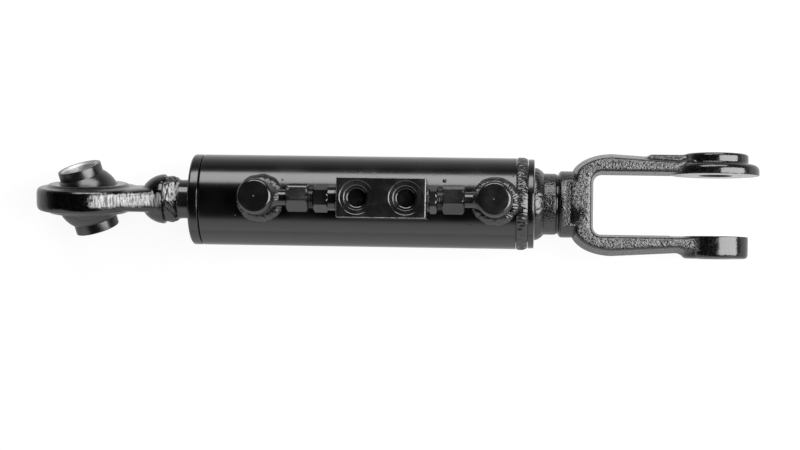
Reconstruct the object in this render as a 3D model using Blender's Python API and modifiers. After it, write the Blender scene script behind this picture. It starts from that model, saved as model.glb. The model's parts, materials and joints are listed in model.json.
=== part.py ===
"""Hydraulic top link for a tractor's three-point linkage, in metres, +Z up.

The cylinder lies along X, with the ball eye at -X and the fork at +X. The pin axes lie along Y, and the oil
ports face +Z. The origin is on the ground under the middle of the link's length.
"""

import math

import bmesh
import bpy
import numpy as np
from mathutils import Matrix, Vector

# Fits
SEAT_GAP = 0.0003
SLIDE_GAP = 0.0002
BALL_GAP = 0.0005
PIN_CLEARANCE = 0.00005

# Cylinder
STROKE = 0.150
TUBE_DIAMETER = 0.070
TUBE_WALL = 0.005
ROD_DIAMETER = 0.030
PISTON_LENGTH = 0.030
PISTON_NUT_LENGTH = 0.012
PISTON_STUD_DIAMETER = 0.022
STOP_GAP = 0.003
END_GAP = 0.0006
RING_DEPTH = 0.0035
WEAR_RING_WIDTH = 0.006
PISTON_SEAL_WIDTH = 0.008
O_RING_DIAMETER = 0.003

# Gland, the screwed-in head that the rod runs through
GLAND_FLANGE = 0.0085
GLAND_PLUG = 0.040
GLAND_EDGE = 0.0012
GUIDE_RING_WIDTH = 0.010
GUIDE_RING_DEPTH = 0.0025
ROD_SEAL_WIDTH = 0.006
ROD_SEAL_DEPTH = 0.005
WIPER_WIDTH = 0.005
WIPER_DEPTH = 0.004
WIPER_LIP = 0.0012

# Closed end
CAP_SPIGOT = 0.006
CAP_DIAMETER = 0.0685
CAP_THICKNESS = 0.0046
END_WELD_LENGTH = 0.0092
END_WELD_CROWN = 0.0009
END_WELD_TOE = 0.0006
NECK_WELD_LENGTH = 0.0075
NECK_WELD_LEG = 0.0045

# Ball and the eye that holds it
PIN_DIAMETER = 0.0254
BALL_DIAMETER = 0.050
BALL_WIDTH = 0.051
BALL_COLLAR_WALL = 0.00425
BALL_CHAMFER = 0.00175
BALL_TILT = math.radians(17.1)
BALL_TILT_AXIS = Vector((0.543, 0.0, 0.840)).normalized()
EYE_WALL = 0.015
EYE_THICKNESS = 0.018
EYE_EDGE = 0.004
EYE_RIM_WALL = 0.0063
EYE_RIM_HEIGHT = 0.0023
EYE_ROLL = math.radians(9.0)
EYE_REACH = 0.0611
SHANK_DIAMETER = 0.0386
SHANK_NOSE = 0.020
SHANK_WEB_HALF = 0.016
ROD_WELD_LENGTH = 0.0122
ROD_WELD_LEG = 0.00275
ROD_SHOWING = 0.0102

# Fork, a drop forging with draft from its parting plane
FORK_REACH = 0.138
NECK_DIAMETER = 0.047
NECK_LENGTH = 0.0094
COLLAR_DIAMETER = 0.051
COLLAR_LENGTH = 0.0092
COLLAR_GROOVE = 0.0015
COLLAR_GROOVE_DEPTH = 0.0006
ARM_HALF_WIDTH = 0.019
ARM_THICKNESS = 0.0165
EAR_ARM_THICKNESS = 0.0135
FORK_HALF_GAP = 0.0228
YOKE_THICKNESS = 0.0177
YOKE_CORNER = 0.006
SHOULDER_LENGTH = 0.032
SHOULDER_START = 0.020
OUTER_DRAFT = math.radians(12.5)
INNER_DRAFT = math.radians(7.0)
FORGING_EDGE = 0.0016
EAR_HALF_GAP = 0.0234
EAR_THICKNESS = 0.0166
EAR_WALL = 0.01225
EAR_CHAMFER = 0.0025
EAR_BLEND = 0.002
FLANGE_WALL = 0.02055
FLANGE_THICKNESS = 0.0086
FLANGE_NECK = 0.0012
RIB_START = 0.0545
RIB_HALF_WIDTH = 0.011

# Oil ports and pipework along the top
FITTING_HEIGHT = 0.048
PORT_INSET = 0.0156
BOSS_DIAMETER = 0.0267
BOSS_HEIGHT = 0.068
BOSS_CHAMFER = 0.0019
PORT_DRILLING = 0.008
BOSS_WELD_LEG = 0.005
BOSS_WELD_HEIGHT = 0.0038
PIPE_DIAMETER = 0.012
PIPE_WALL = 0.0015
PIPE_IN_BOSS = 0.005
PIPE_SHOWING_LEFT = 0.0085
PIPE_SHOWING_RIGHT = 0.0088
PIPE_WELD_LENGTH = 0.0045
PIPE_WELD_LEG = 0.0022
NUT_ACROSS_FLATS = 0.022
NUT_LENGTH = 0.0166
NUT_FLOOR = 0.004
NUT_OVERLAP = 0.0095
CUTTING_RING_LENGTH = 0.0055
CUTTING_RING_WALL = 0.0016
THREAD_DIAMETER = 0.017
THREAD_SHOWING = 0.0042
STUD_HEX_ACROSS_FLATS = 0.019
STUD_HEX_LEFT = 0.0111
STUD_HEX_RIGHT = 0.0061
STUD_COLLAR_DIAMETER = 0.019
STUD_COLLAR_LEFT = 0.0055
STUD_DIAMETER = 0.0158
STUD_LENGTH = 0.007
STUD_BORE = 0.006
SEAL_WASHER = 0.0015

# Valve block with its pilot-opened check valves
BLOCK_LENGTH = 0.0668
BLOCK_WIDTH = 0.030
BLOCK_DEPTH = 0.030
BLOCK_RISE = 0.0028
BLOCK_EDGE = 0.0006
PORT_SPACING = 0.0366
PORT_BORE = 0.015
PORT_MOUTH = 0.019
PORT_FACE = 0.0262
PORT_FACE_DEPTH = 0.0005
PORT_DEPTH = 0.0115
GALLERY = 0.0034
PILOT_BORE = 0.010
PILOT_CHAMBER = 0.007
PILOT_PIN = 0.0032
PILOT_GAP = 0.0022
SEAT_BORE = 0.006
SEAT_LENGTH = 0.002
CHECK_BORE = 0.010
CHECK_CHAMBER = 0.0091
POPPET_LENGTH = 0.0055
POPPET_NOSE = 0.0014
SPRING_WIRE = 0.0009
SPRING_TURNS = 4

# Sides of a round piece: on the barrel, on a forging or ball, on a rod or boss, and on a fitting
BARREL_STEPS = 24
FORGING_STEPS = 24
ROD_STEPS = 20
FITTING_STEPS = 14


def arc(centre, radius, start, end, steps):
    """(height, radius) pairs along an arc, with angles in degrees from the outward direction."""
    angles = np.radians(np.linspace(start, end, steps + 1))
    return [(centre[0] + radius * math.sin(a), centre[1] + radius * math.cos(a)) for a in angles]


def eye_outline():
    """(height, radius) pairs down the outer side of the eye's ring, with its raised rims and round edges."""
    half = EYE_THICKNESS / 2
    rim = half + EYE_RIM_HEIGHT
    rim_radius = BALL_RADIUS + EYE_RIM_WALL
    slope = EYE_RIM_HEIGHT / 2
    upper = [(rim, 0.0), (rim, rim_radius - slope), (half, rim_radius + slope)]
    upper += arc((half - EYE_EDGE, EYE_RADIUS - EYE_EDGE), EYE_EDGE, 90, 0, 3)
    return upper + [(-height, radius) for height, radius in reversed(upper)]


TUBE_RADIUS = TUBE_DIAMETER / 2
BORE_RADIUS = TUBE_RADIUS - TUBE_WALL
ROD_RADIUS = ROD_DIAMETER / 2
PIN_BORE_RADIUS = PIN_DIAMETER / 2 + PIN_CLEARANCE
BALL_RADIUS = BALL_DIAMETER / 2
EYE_RADIUS = BALL_RADIUS + EYE_WALL
EAR_RADIUS = PIN_BORE_RADIUS + EAR_WALL
FLANGE_RADIUS = PIN_BORE_RADIUS + FLANGE_WALL
TUBE_LENGTH = GLAND_PLUG + STOP_GAP + STROKE + PISTON_LENGTH + PISTON_NUT_LENGTH + END_GAP + CAP_SPIGOT
CAP_FACE = TUBE_LENGTH + END_WELD_LENGTH + CAP_THICKNESS
PISTON_FACE = GLAND_PLUG + STOP_GAP + STROKE
EYE_END = -(GLAND_FLANGE + ROD_SHOWING + ROD_WELD_LENGTH)
BALL_STATION = EYE_END - EYE_REACH
PIN_STATION = CAP_FACE + FORK_REACH
MID_STATION = (BALL_STATION - EYE_RADIUS + PIN_STATION + FLANGE_RADIUS) / 2

# The rolled eye is what the link rests on
AXIS_HEIGHT = max(r * math.cos(EYE_ROLL) + h * math.sin(EYE_ROLL) for h, r in eye_outline())

# A chain of fittings joins the two bosses, so the bosses' spacing is the sum of its links
STUD_CHAIN_LEFT = SEAL_WASHER + STUD_COLLAR_LEFT + STUD_HEX_LEFT + THREAD_SHOWING
STUD_CHAIN_RIGHT = SEAL_WASHER + STUD_HEX_RIGHT + THREAD_SHOWING
BOSS_RIGHT = TUBE_LENGTH - PORT_INSET
BLOCK_END = BOSS_RIGHT - BOSS_DIAMETER / 2 - PIPE_SHOWING_RIGHT - NUT_LENGTH - STUD_CHAIN_RIGHT
BLOCK_START = BLOCK_END - BLOCK_LENGTH
BLOCK_MIDDLE = (BLOCK_START + BLOCK_END) / 2
BOSS_LEFT = BLOCK_START - STUD_CHAIN_LEFT - NUT_LENGTH - PIPE_SHOWING_LEFT - BOSS_DIAMETER / 2

# Inwards from each end of the block come the stud, the check's chamber, its seat and the pilot's bore
STUD_BOTTOM = BLOCK_LENGTH / 2 - STUD_LENGTH - SEAT_GAP
CHECK_SEAT = STUD_BOTTOM - CHECK_CHAMBER
PILOT_END = CHECK_SEAT - SEAT_LENGTH

LENGTHWAYS = (0.0, math.pi / 2, 0.0)
UPRIGHT = (0.0, 0.0, 0.0)
CROSSWAYS = (-math.pi / 2, 0.0, 0.0)

BLACK_PAINT = ((0.012, 0.012, 0.013), 0.22, 0.0)
FORGED_BLACK = ((0.016, 0.016, 0.017), 0.38, 0.0)
WELD_BLACK = ((0.018, 0.018, 0.019), 0.30, 0.0)
BRIGHT_STEEL = ((0.55, 0.56, 0.57), 0.22, 1.0)
CHROME = ((0.62, 0.63, 0.65), 0.08, 1.0)
SEAL_RUBBER = ((0.03, 0.03, 0.032), 0.6, 0.0)
GUIDE_BRONZE = ((0.36, 0.22, 0.10), 0.45, 0.3)


def clear_scene():
    """Removes what the scene starts with."""
    for obj in list(bpy.data.objects):
        bpy.data.objects.remove(obj)


def new_collection(name):
    """Returns a collection linked to the scene."""
    collection = bpy.data.collections.new(name)
    bpy.context.scene.collection.children.link(collection)
    return collection


def new_frame(name, location, parent=None):
    """Returns an empty that pieces are placed from."""
    frame = bpy.data.objects.new(name, None)
    frame.location = location
    frame.parent = parent
    PARTS.objects.link(frame)
    return frame


def finish(obj, look):
    """Gives a piece its own material."""
    colour, roughness, metallic = look
    material = bpy.data.materials.new(obj.name)
    material.use_nodes = True
    shader = material.node_tree.nodes["Principled BSDF"]
    shader.inputs["Base Color"].default_value = (*colour, 1.0)
    shader.inputs["Roughness"].default_value = roughness
    shader.inputs["Metallic"].default_value = metallic
    obj.data.materials.append(material)


def place(name, mesh, frame, at, rotation, look):
    """Makes the object of a mesh, as a piece with a finish or, without one, as a cutter or other helper."""
    obj = bpy.data.objects.new(name, mesh)
    obj.parent = frame
    obj.location = at
    obj.rotation_euler = rotation
    if look:
        PARTS.objects.link(obj)
        finish(obj, look)
    else:
        CUTTERS.objects.link(obj)
        obj.hide_render = True
        obj.display_type = "WIRE"
    return obj


def turned(name, outline, frame, at=(0, 0, 0), rotation=LENGTHWAYS, look=None, steps=BARREL_STEPS):
    """Turns an outline about the piece's own Z axis.

    The outline is (height, radius) pairs that run down the outer side, and back up the inner side if the
    piece is hollow. An outline that starts and ends on the axis makes a solid.
    """
    solid = outline[0][1] == 0.0
    last = len(outline) - 1
    edges = [(i, i + 1) for i in range(last)] + ([] if solid else [(last, 0)])
    mesh = bpy.data.meshes.new(name)
    mesh.from_pydata([(radius, 0.0, height) for height, radius in outline], edges, [])
    obj = place(name, mesh, frame, at, rotation, look)
    screw = obj.modifiers.new("turn", "SCREW")
    screw.steps = steps
    screw.render_steps = steps
    screw.use_merge_vertices = True
    screw.merge_threshold = 0.00001
    return obj


def bar(name, start, end, radius, frame, **options):
    """A plain round bar from start to end along its axis."""
    return turned(name, [(end, 0.0), (end, radius), (start, radius), (start, 0.0)], frame, **options)


def ring(name, start, end, inner, outer, frame, **options):
    """A plain ring from start to end along its axis."""
    outline = [(end, inner), (end, outer), (start, outer), (start, inner)]
    return turned(name, outline, frame, **options)


def combine(obj, other, operation):
    """Adds a Boolean step to a piece."""
    step = obj.modifiers.new(operation.lower(), "BOOLEAN")
    step.operation = operation
    step.object = other
    return obj


def hexagon(name, start, end, across_flats, frame, at, turn):
    """A hexagonal prism along X, with a flat towards +Z when turn is zero."""
    shape = bmesh.new()
    radius = across_flats / math.sqrt(3)
    bmesh.ops.create_cone(
        shape, cap_ends=True, segments=6, radius1=radius, radius2=radius, depth=end - start
    )
    bmesh.ops.translate(shape, verts=shape.verts, vec=(0, 0, (start + end) / 2))
    bmesh.ops.rotate(shape, verts=shape.verts, matrix=Matrix.Rotation(turn, 3, "Z"))
    mesh = bpy.data.meshes.new(name)
    shape.to_mesh(mesh)
    shape.free()
    return place(name, mesh, frame, at, LENGTHWAYS, None)


def inset(outline, distances):
    """Moves each point of a closed outline, drawn anticlockwise, inwards along its mitre."""
    points = np.array(outline)
    before = points - np.roll(points, 1, axis=0)
    after = np.roll(points, -1, axis=0) - points
    before /= np.linalg.norm(before, axis=1)[:, None]
    after /= np.linalg.norm(after, axis=1)[:, None]
    mitre = np.stack([-(before + after)[:, 1], (before + after)[:, 0]], axis=1)
    mitre /= np.linalg.norm(mitre, axis=1)[:, None]
    turn = np.clip((mitre * np.stack([-after[:, 1], after[:, 0]], axis=1)).sum(axis=1), 0.5, 1.0)
    return points + mitre * (np.asarray(distances) / turn)[:, None]


def forged_slab(name, outline, drafts, half_width, edge, frame, at, rotation, look=None):
    """Lofts an outline on the parting plane out to two smaller faces, each with a rounded edge.

    The sections are the outline moved inwards by the draft, and at the edge by a quarter arc as well.
    """
    drafts = np.asarray(drafts)
    tangents = np.tan(drafts)
    side = []
    for turn in np.linspace(0.0, math.pi / 2, 3):
        height = half_width - edge * (1 - math.sin(turn))
        side.append((height, height * tangents + edge * (1 - math.cos(turn))))
    sections = [(-height, move) for height, move in reversed(side)]
    sections += [(0.0, 0.0 * tangents)] + side
    shape = bmesh.new()
    rings = []
    for height, move in sections:
        rings.append([shape.verts.new((x, y, height)) for x, y in inset(outline, move)])
    count = len(outline)
    for low, high in zip(rings, rings[1:]):
        for i in range(count):
            j = (i + 1) % count
            shape.faces.new((low[i], low[j], high[j], high[i]))
    shape.faces.new(list(reversed(rings[0])))
    shape.faces.new(rings[-1])
    mesh = bpy.data.meshes.new(name)
    shape.to_mesh(mesh)
    shape.free()
    return place(name, mesh, frame, at, rotation, look)


def make_tube():
    """The barrel tube, with an oil hole under each port boss."""
    tube = ring(
        "barrel_tube", 0.0, TUBE_LENGTH, BORE_RADIUS, TUBE_RADIUS, BARREL, look=BLACK_PAINT
    )
    for side, station in (("left", BOSS_LEFT), ("right", BOSS_RIGHT)):
        hole = bar(
            f"oil_hole_{side}", 0.0, FITTING_HEIGHT, PORT_DRILLING / 2, BARREL,
            at=(station, 0, 0), rotation=UPRIGHT, steps=FITTING_STEPS,
        )
        combine(tube, hole, "DIFFERENCE")


def make_gland():
    """The gland, with grooves in its bore for the guide ring, the rod seal and the wiper."""
    bore = ROD_RADIUS + SEAT_GAP
    plug = BORE_RADIUS - SEAT_GAP
    face = -GLAND_FLANGE
    wiper_end = face + WIPER_WIDTH
    seal_start = wiper_end + WIPER_WIDTH / 2
    seal_end = seal_start + ROD_SEAL_WIDTH
    guide_start = seal_end + ROD_SEAL_WIDTH / 2
    guide_end = guide_start + GUIDE_RING_WIDTH
    groove_middle = GLAND_PLUG / 2
    groove_bottom = plug - O_RING_DIAMETER + SEAT_GAP
    groove_half = O_RING_DIAMETER / 2 + SEAT_GAP
    outline = [
        (GLAND_PLUG, bore),
        (GLAND_PLUG, plug - GLAND_EDGE),
        (GLAND_PLUG - GLAND_EDGE, plug),
        (groove_middle + groove_half, plug),
        (groove_middle + groove_half, groove_bottom),
        (groove_middle - groove_half, groove_bottom),
        (groove_middle - groove_half, plug),
        (-SEAT_GAP, plug),
        (-SEAT_GAP, TUBE_RADIUS - GLAND_EDGE / 3),
        (-SEAT_GAP - GLAND_EDGE / 3, TUBE_RADIUS),
        *arc((face + GLAND_EDGE, TUBE_RADIUS - GLAND_EDGE), GLAND_EDGE, 0, -90, 2),
        (face, ROD_RADIUS + WIPER_DEPTH),
        (wiper_end, ROD_RADIUS + WIPER_DEPTH),
        (wiper_end, bore),
        (seal_start, bore),
        (seal_start, ROD_RADIUS + ROD_SEAL_DEPTH),
        (seal_end, ROD_RADIUS + ROD_SEAL_DEPTH),
        (seal_end, bore),
        (guide_start, bore),
        (guide_start, ROD_RADIUS + GUIDE_RING_DEPTH),
        (guide_end, ROD_RADIUS + GUIDE_RING_DEPTH),
        (guide_end, bore),
    ]
    turned("gland", outline, BARREL, look=BLACK_PAINT)
    lip = ROD_RADIUS + SLIDE_GAP
    wiper = [
        (wiper_end - SEAT_GAP, lip + WIPER_LIP),
        (wiper_end - SEAT_GAP, ROD_RADIUS + WIPER_DEPTH - SEAT_GAP),
        (face, ROD_RADIUS + WIPER_DEPTH - SEAT_GAP),
        (face - WIPER_LIP, lip + WIPER_LIP),
        (face - WIPER_LIP, lip),
        (face, lip),
    ]
    turned("wiper_seal", wiper, BARREL, look=SEAL_RUBBER, steps=ROD_STEPS)
    ring(
        "rod_seal", seal_start + SEAT_GAP, seal_end - SEAT_GAP, lip,
        ROD_RADIUS + ROD_SEAL_DEPTH - SEAT_GAP, BARREL, look=SEAL_RUBBER, steps=ROD_STEPS,
    )
    ring(
        "gland_guide_ring", guide_start + SEAT_GAP, guide_end - SEAT_GAP, lip,
        ROD_RADIUS + GUIDE_RING_DEPTH - SEAT_GAP, BARREL, look=GUIDE_BRONZE, steps=ROD_STEPS,
    )
    cord_radius = O_RING_DIAMETER / 2 - SEAT_GAP / 2
    cord_centre = (groove_bottom + BORE_RADIUS) / 2
    turned(
        "gland_o_ring", arc((groove_middle, cord_centre), cord_radius, 90, -180, 3), BARREL,
        look=SEAL_RUBBER,
    )


def make_end_cap():
    """The end cap with its spigot, the bead that joins it to the tube, and the bead round the fork's neck."""
    spigot = BORE_RADIUS - SEAT_GAP
    disc = TUBE_LENGTH + END_WELD_LENGTH
    edge = CAP_THICKNESS / 4
    cap = [
        (CAP_FACE, 0.0),
        (CAP_FACE, CAP_DIAMETER / 2 - edge),
        (CAP_FACE - edge, CAP_DIAMETER / 2),
        (disc, CAP_DIAMETER / 2),
        (disc, spigot),
        (TUBE_LENGTH - CAP_SPIGOT + edge, spigot),
        (TUBE_LENGTH - CAP_SPIGOT, spigot - edge),
        (TUBE_LENGTH - CAP_SPIGOT, 0.0),
    ]
    turned("end_cap", cap, BARREL, look=BLACK_PAINT)
    start = TUBE_LENGTH + SEAT_GAP
    end = disc - SEAT_GAP
    rise = END_WELD_CROWN + END_WELD_TOE
    crown = [
        (end - (end - start) * t, TUBE_RADIUS - END_WELD_TOE + rise * math.sin(math.pi * t))
        for t in np.linspace(0.0, 1.0, 5)
    ]
    turned("end_weld", [(end, BORE_RADIUS), *crown, (start, BORE_RADIUS)], BARREL, look=WELD_BLACK)
    neck = NECK_DIAMETER / 2
    foot = CAP_FACE + SEAT_GAP
    toe = CAP_FACE + NECK_WELD_LENGTH
    bead = [
        (toe, neck - NECK_WELD_LEG + SEAT_GAP),
        (toe, neck + SEAT_GAP),
        (toe - NECK_WELD_LENGTH / 2, neck + NECK_WELD_LEG * 0.62),
        (foot, neck + NECK_WELD_LEG),
        (foot, neck - NECK_WELD_LEG + SEAT_GAP),
    ]
    turned("neck_weld", bead, BARREL, look=WELD_BLACK, steps=FORGING_STEPS)


def make_piston():
    """The piston on the rod's stud, its nut, its seals, and the rod that runs out through the gland."""
    face = PISTON_FACE
    back = face + PISTON_LENGTH
    outer = BORE_RADIUS - SEAT_GAP
    groove = BORE_RADIUS - RING_DEPTH
    stud = PISTON_STUD_DIAMETER / 2
    space = (PISTON_LENGTH - 2 * WEAR_RING_WIDTH - PISTON_SEAL_WIDTH) / 4
    rings = []
    station = face + space
    for name, width, look in (
        ("piston_wear_ring_front", WEAR_RING_WIDTH, GUIDE_BRONZE),
        ("piston_seal", PISTON_SEAL_WIDTH, SEAL_RUBBER),
        ("piston_wear_ring_back", WEAR_RING_WIDTH, GUIDE_BRONZE),
    ):
        rings.append((station, station + width))
        ring(
            name, station + SEAT_GAP, station + width - SEAT_GAP, groove + SEAT_GAP,
            BORE_RADIUS - SLIDE_GAP, SEALS, look=look,
        )
        station += width + space
    o_groove = (face + back) / 2
    o_half = O_RING_DIAMETER / 2
    o_floor = stud + O_RING_DIAMETER * 0.8
    outline = [(back, stud + SEAT_GAP), (back, outer)]
    for start, end in reversed(rings):
        outline += [(end, outer), (end, groove), (start, groove), (start, outer)]
    outline += [
        (face, outer),
        (face, stud + SEAT_GAP),
        (o_groove - o_half, stud + SEAT_GAP),
        (o_groove - o_half, o_floor),
        (o_groove + o_half, o_floor),
        (o_groove + o_half, stud + SEAT_GAP),
    ]
    turned("piston", outline, ROD, look=BRIGHT_STEEL)
    ring(
        "piston_o_ring", o_groove - o_half + SEAT_GAP, o_groove + o_half - SEAT_GAP, stud + SEAT_GAP,
        o_floor - SEAT_GAP, ROD, look=SEAL_RUBBER, steps=ROD_STEPS,
    )
    nut_start = back + SEAT_GAP
    nut_end = back + PISTON_NUT_LENGTH
    corner = PISTON_STUD_DIAMETER * 0.85
    flats = corner * math.sqrt(3)
    nut = ring(
        "piston_nut", nut_start, nut_end, stud + SEAT_GAP, corner, ROD, look=BRIGHT_STEEL, steps=ROD_STEPS
    )
    blank = hexagon("piston_nut_flats", nut_start - STOP_GAP, nut_end + STOP_GAP, flats, ROD, (0, 0, 0), 0.0)
    combine(nut, blank, "INTERSECT")
    chamfer = ROD_RADIUS - stud
    rod = [
        (nut_end, 0.0),
        (nut_end, stud),
        (face - SEAT_GAP, stud),
        (face - SEAT_GAP, ROD_RADIUS - chamfer / 2),
        (face - SEAT_GAP - chamfer / 2, ROD_RADIUS),
        (EYE_END + SEAT_GAP, ROD_RADIUS),
        (EYE_END + SEAT_GAP, 0.0),
    ]
    turned("rod", rod, ROD, look=CHROME, steps=ROD_STEPS)


def make_eye():
    """The forged rod eye with its ball seat, and the bead that joins it to the rod.

    Its own Z axis is the bore's, and its shank points along +X. A web whose plan is two tangents to the
    ring joins the ring to the shank.
    """
    half = EYE_THICKNESS / 2
    rotation = (EYE_ROLL + CROSSWAYS[0], 0.0, 0.0)
    at = (BALL_STATION, 0, 0)
    options = {"at": at, "rotation": rotation, "steps": FORGING_STEPS}
    eye = turned("rod_eye", eye_outline(), ROD, look=FORGED_BLACK, **options)

    web_radius = EYE_RADIUS - EYE_EDGE / 4
    far = np.array([EYE_REACH - SHANK_NOSE * 0.1, SHANK_WEB_HALF])
    touch = math.atan2(far[1], far[0]) + math.acos(web_radius / np.hypot(*far))
    side = [(web_radius * math.cos(a), web_radius * math.sin(a)) for a in np.linspace(touch, math.pi / 2, 3)]
    plan = [(far[0], -far[1]), (far[0], far[1]), *side, *[(x, -y) for x, y in reversed(side)]]
    web = forged_slab("eye_web", plan, np.zeros(len(plan)), half, EYE_EDGE / 2, ROD, at, rotation)
    combine(eye, web, "UNION")

    shank = SHANK_DIAMETER / 2
    nose = EYE_REACH - SHANK_NOSE
    outline = [(EYE_REACH, 0.0), (EYE_REACH, shank - EYE_EDGE / 8), (EYE_REACH - EYE_EDGE / 8, shank)]
    for a in np.radians(np.linspace(0, 75, 6)):
        outline.append((nose + SHANK_NOSE * (1 - math.sin(a)), shank * math.cos(a)))
    outline.append((outline[-1][0], 0.0))
    combine(eye, turned("eye_shank", outline, ROD, at=at, steps=FORGING_STEPS), "UNION")

    seat = BALL_RADIUS + BALL_GAP
    sphere = [(seat * math.cos(a), seat * math.sin(a)) for a in np.linspace(0.0, math.pi, 17)]
    sphere[0], sphere[-1] = (seat, 0.0), (-seat, 0.0)
    combine(eye, turned("ball_seat", sphere, ROD, **options), "DIFFERENCE")

    toe = EYE_END + ROD_WELD_LENGTH
    foot = EYE_END + SEAT_GAP
    inner = ROD_RADIUS + SEAT_GAP
    bead = [
        (toe, inner),
        (toe, inner + SEAT_GAP),
        (toe - ROD_WELD_LENGTH / 3, inner + ROD_WELD_LEG),
        (foot + ROD_WELD_LENGTH / 3, inner + ROD_WELD_LEG),
        (foot, inner + ROD_WELD_LEG * 0.85),
        (foot, inner),
    ]
    turned("rod_weld", bead, ROD, look=WELD_BLACK, steps=ROD_STEPS)


def make_ball():
    """The swivel ball, a sphere with a collar each side and a bore for the hitch pin."""
    collar = PIN_BORE_RADIUS + BALL_COLLAR_WALL
    half = BALL_WIDTH / 2
    edge = BALL_CHAMFER / 4
    start = math.degrees(math.acos(collar / BALL_RADIUS))
    top = [
        (half - BALL_CHAMFER, PIN_BORE_RADIUS),
        (half, PIN_BORE_RADIUS + BALL_CHAMFER),
        (half, collar - edge),
        (half - edge, collar),
    ]
    bottom = [(-height, radius) for height, radius in reversed(top)]
    outline = top + arc((0.0, 0.0), BALL_RADIUS, start, -start, 8) + bottom
    turned("ball", outline, BALL, rotation=UPRIGHT, look=BLACK_PAINT, steps=FORGING_STEPS)


def arm_outline():
    """The fork's outline on its parting plane, and the draft at each of its points.

    It runs anticlockwise: along the lower arm's outside, back along its inside, round the yoke, and out
    along the upper arm. The shoulders are quarter ellipses, and the inner corners quarter circles.
    """
    crotch = NECK_WELD_LENGTH + NECK_LENGTH + COLLAR_GROOVE + COLLAR_LENGTH
    inner_face = crotch + YOKE_THICKNESS
    shoulder = FORK_HALF_GAP + ARM_THICKNESS
    tip = FORK_REACH + PIN_BORE_RADIUS / 3
    ear_side = FORK_REACH - EAR_RADIUS
    ear_back = FORK_HALF_GAP + EAR_ARM_THICKNESS
    ear_face = EAR_HALF_GAP + EAR_THICKNESS
    buried = crotch - COLLAR_LENGTH / 2
    outside = [(buried, SHOULDER_START * 0.9)]
    for a in np.linspace(0.0, math.pi / 2, 9):
        rise = (shoulder - SHOULDER_START) * math.sin(a)
        outside.append((crotch + SHOULDER_LENGTH * (1 - math.cos(a)), SHOULDER_START + rise))
    step = ear_face - EAR_BLEND - ear_back
    outside += [(ear_side - step, ear_back), (ear_side, ear_back + step), (tip, ear_back + step)]
    inside = [(tip, FORK_HALF_GAP)]
    corner = (inner_face + YOKE_CORNER, FORK_HALF_GAP - YOKE_CORNER)
    for a in np.linspace(math.pi / 2, math.pi, 5):
        inside.append((corner[0] + YOKE_CORNER * math.cos(a), corner[1] + YOKE_CORNER * math.sin(a)))
    half = outside + inside
    drafts = [OUTER_DRAFT] * (len(outside) - 1) + [INNER_DRAFT] * (len(inside) + 1)
    outline = [(x, -y) for x, y in half] + [(x, y) for x, y in reversed(half)]
    return outline, drafts + drafts[::-1]


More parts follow.
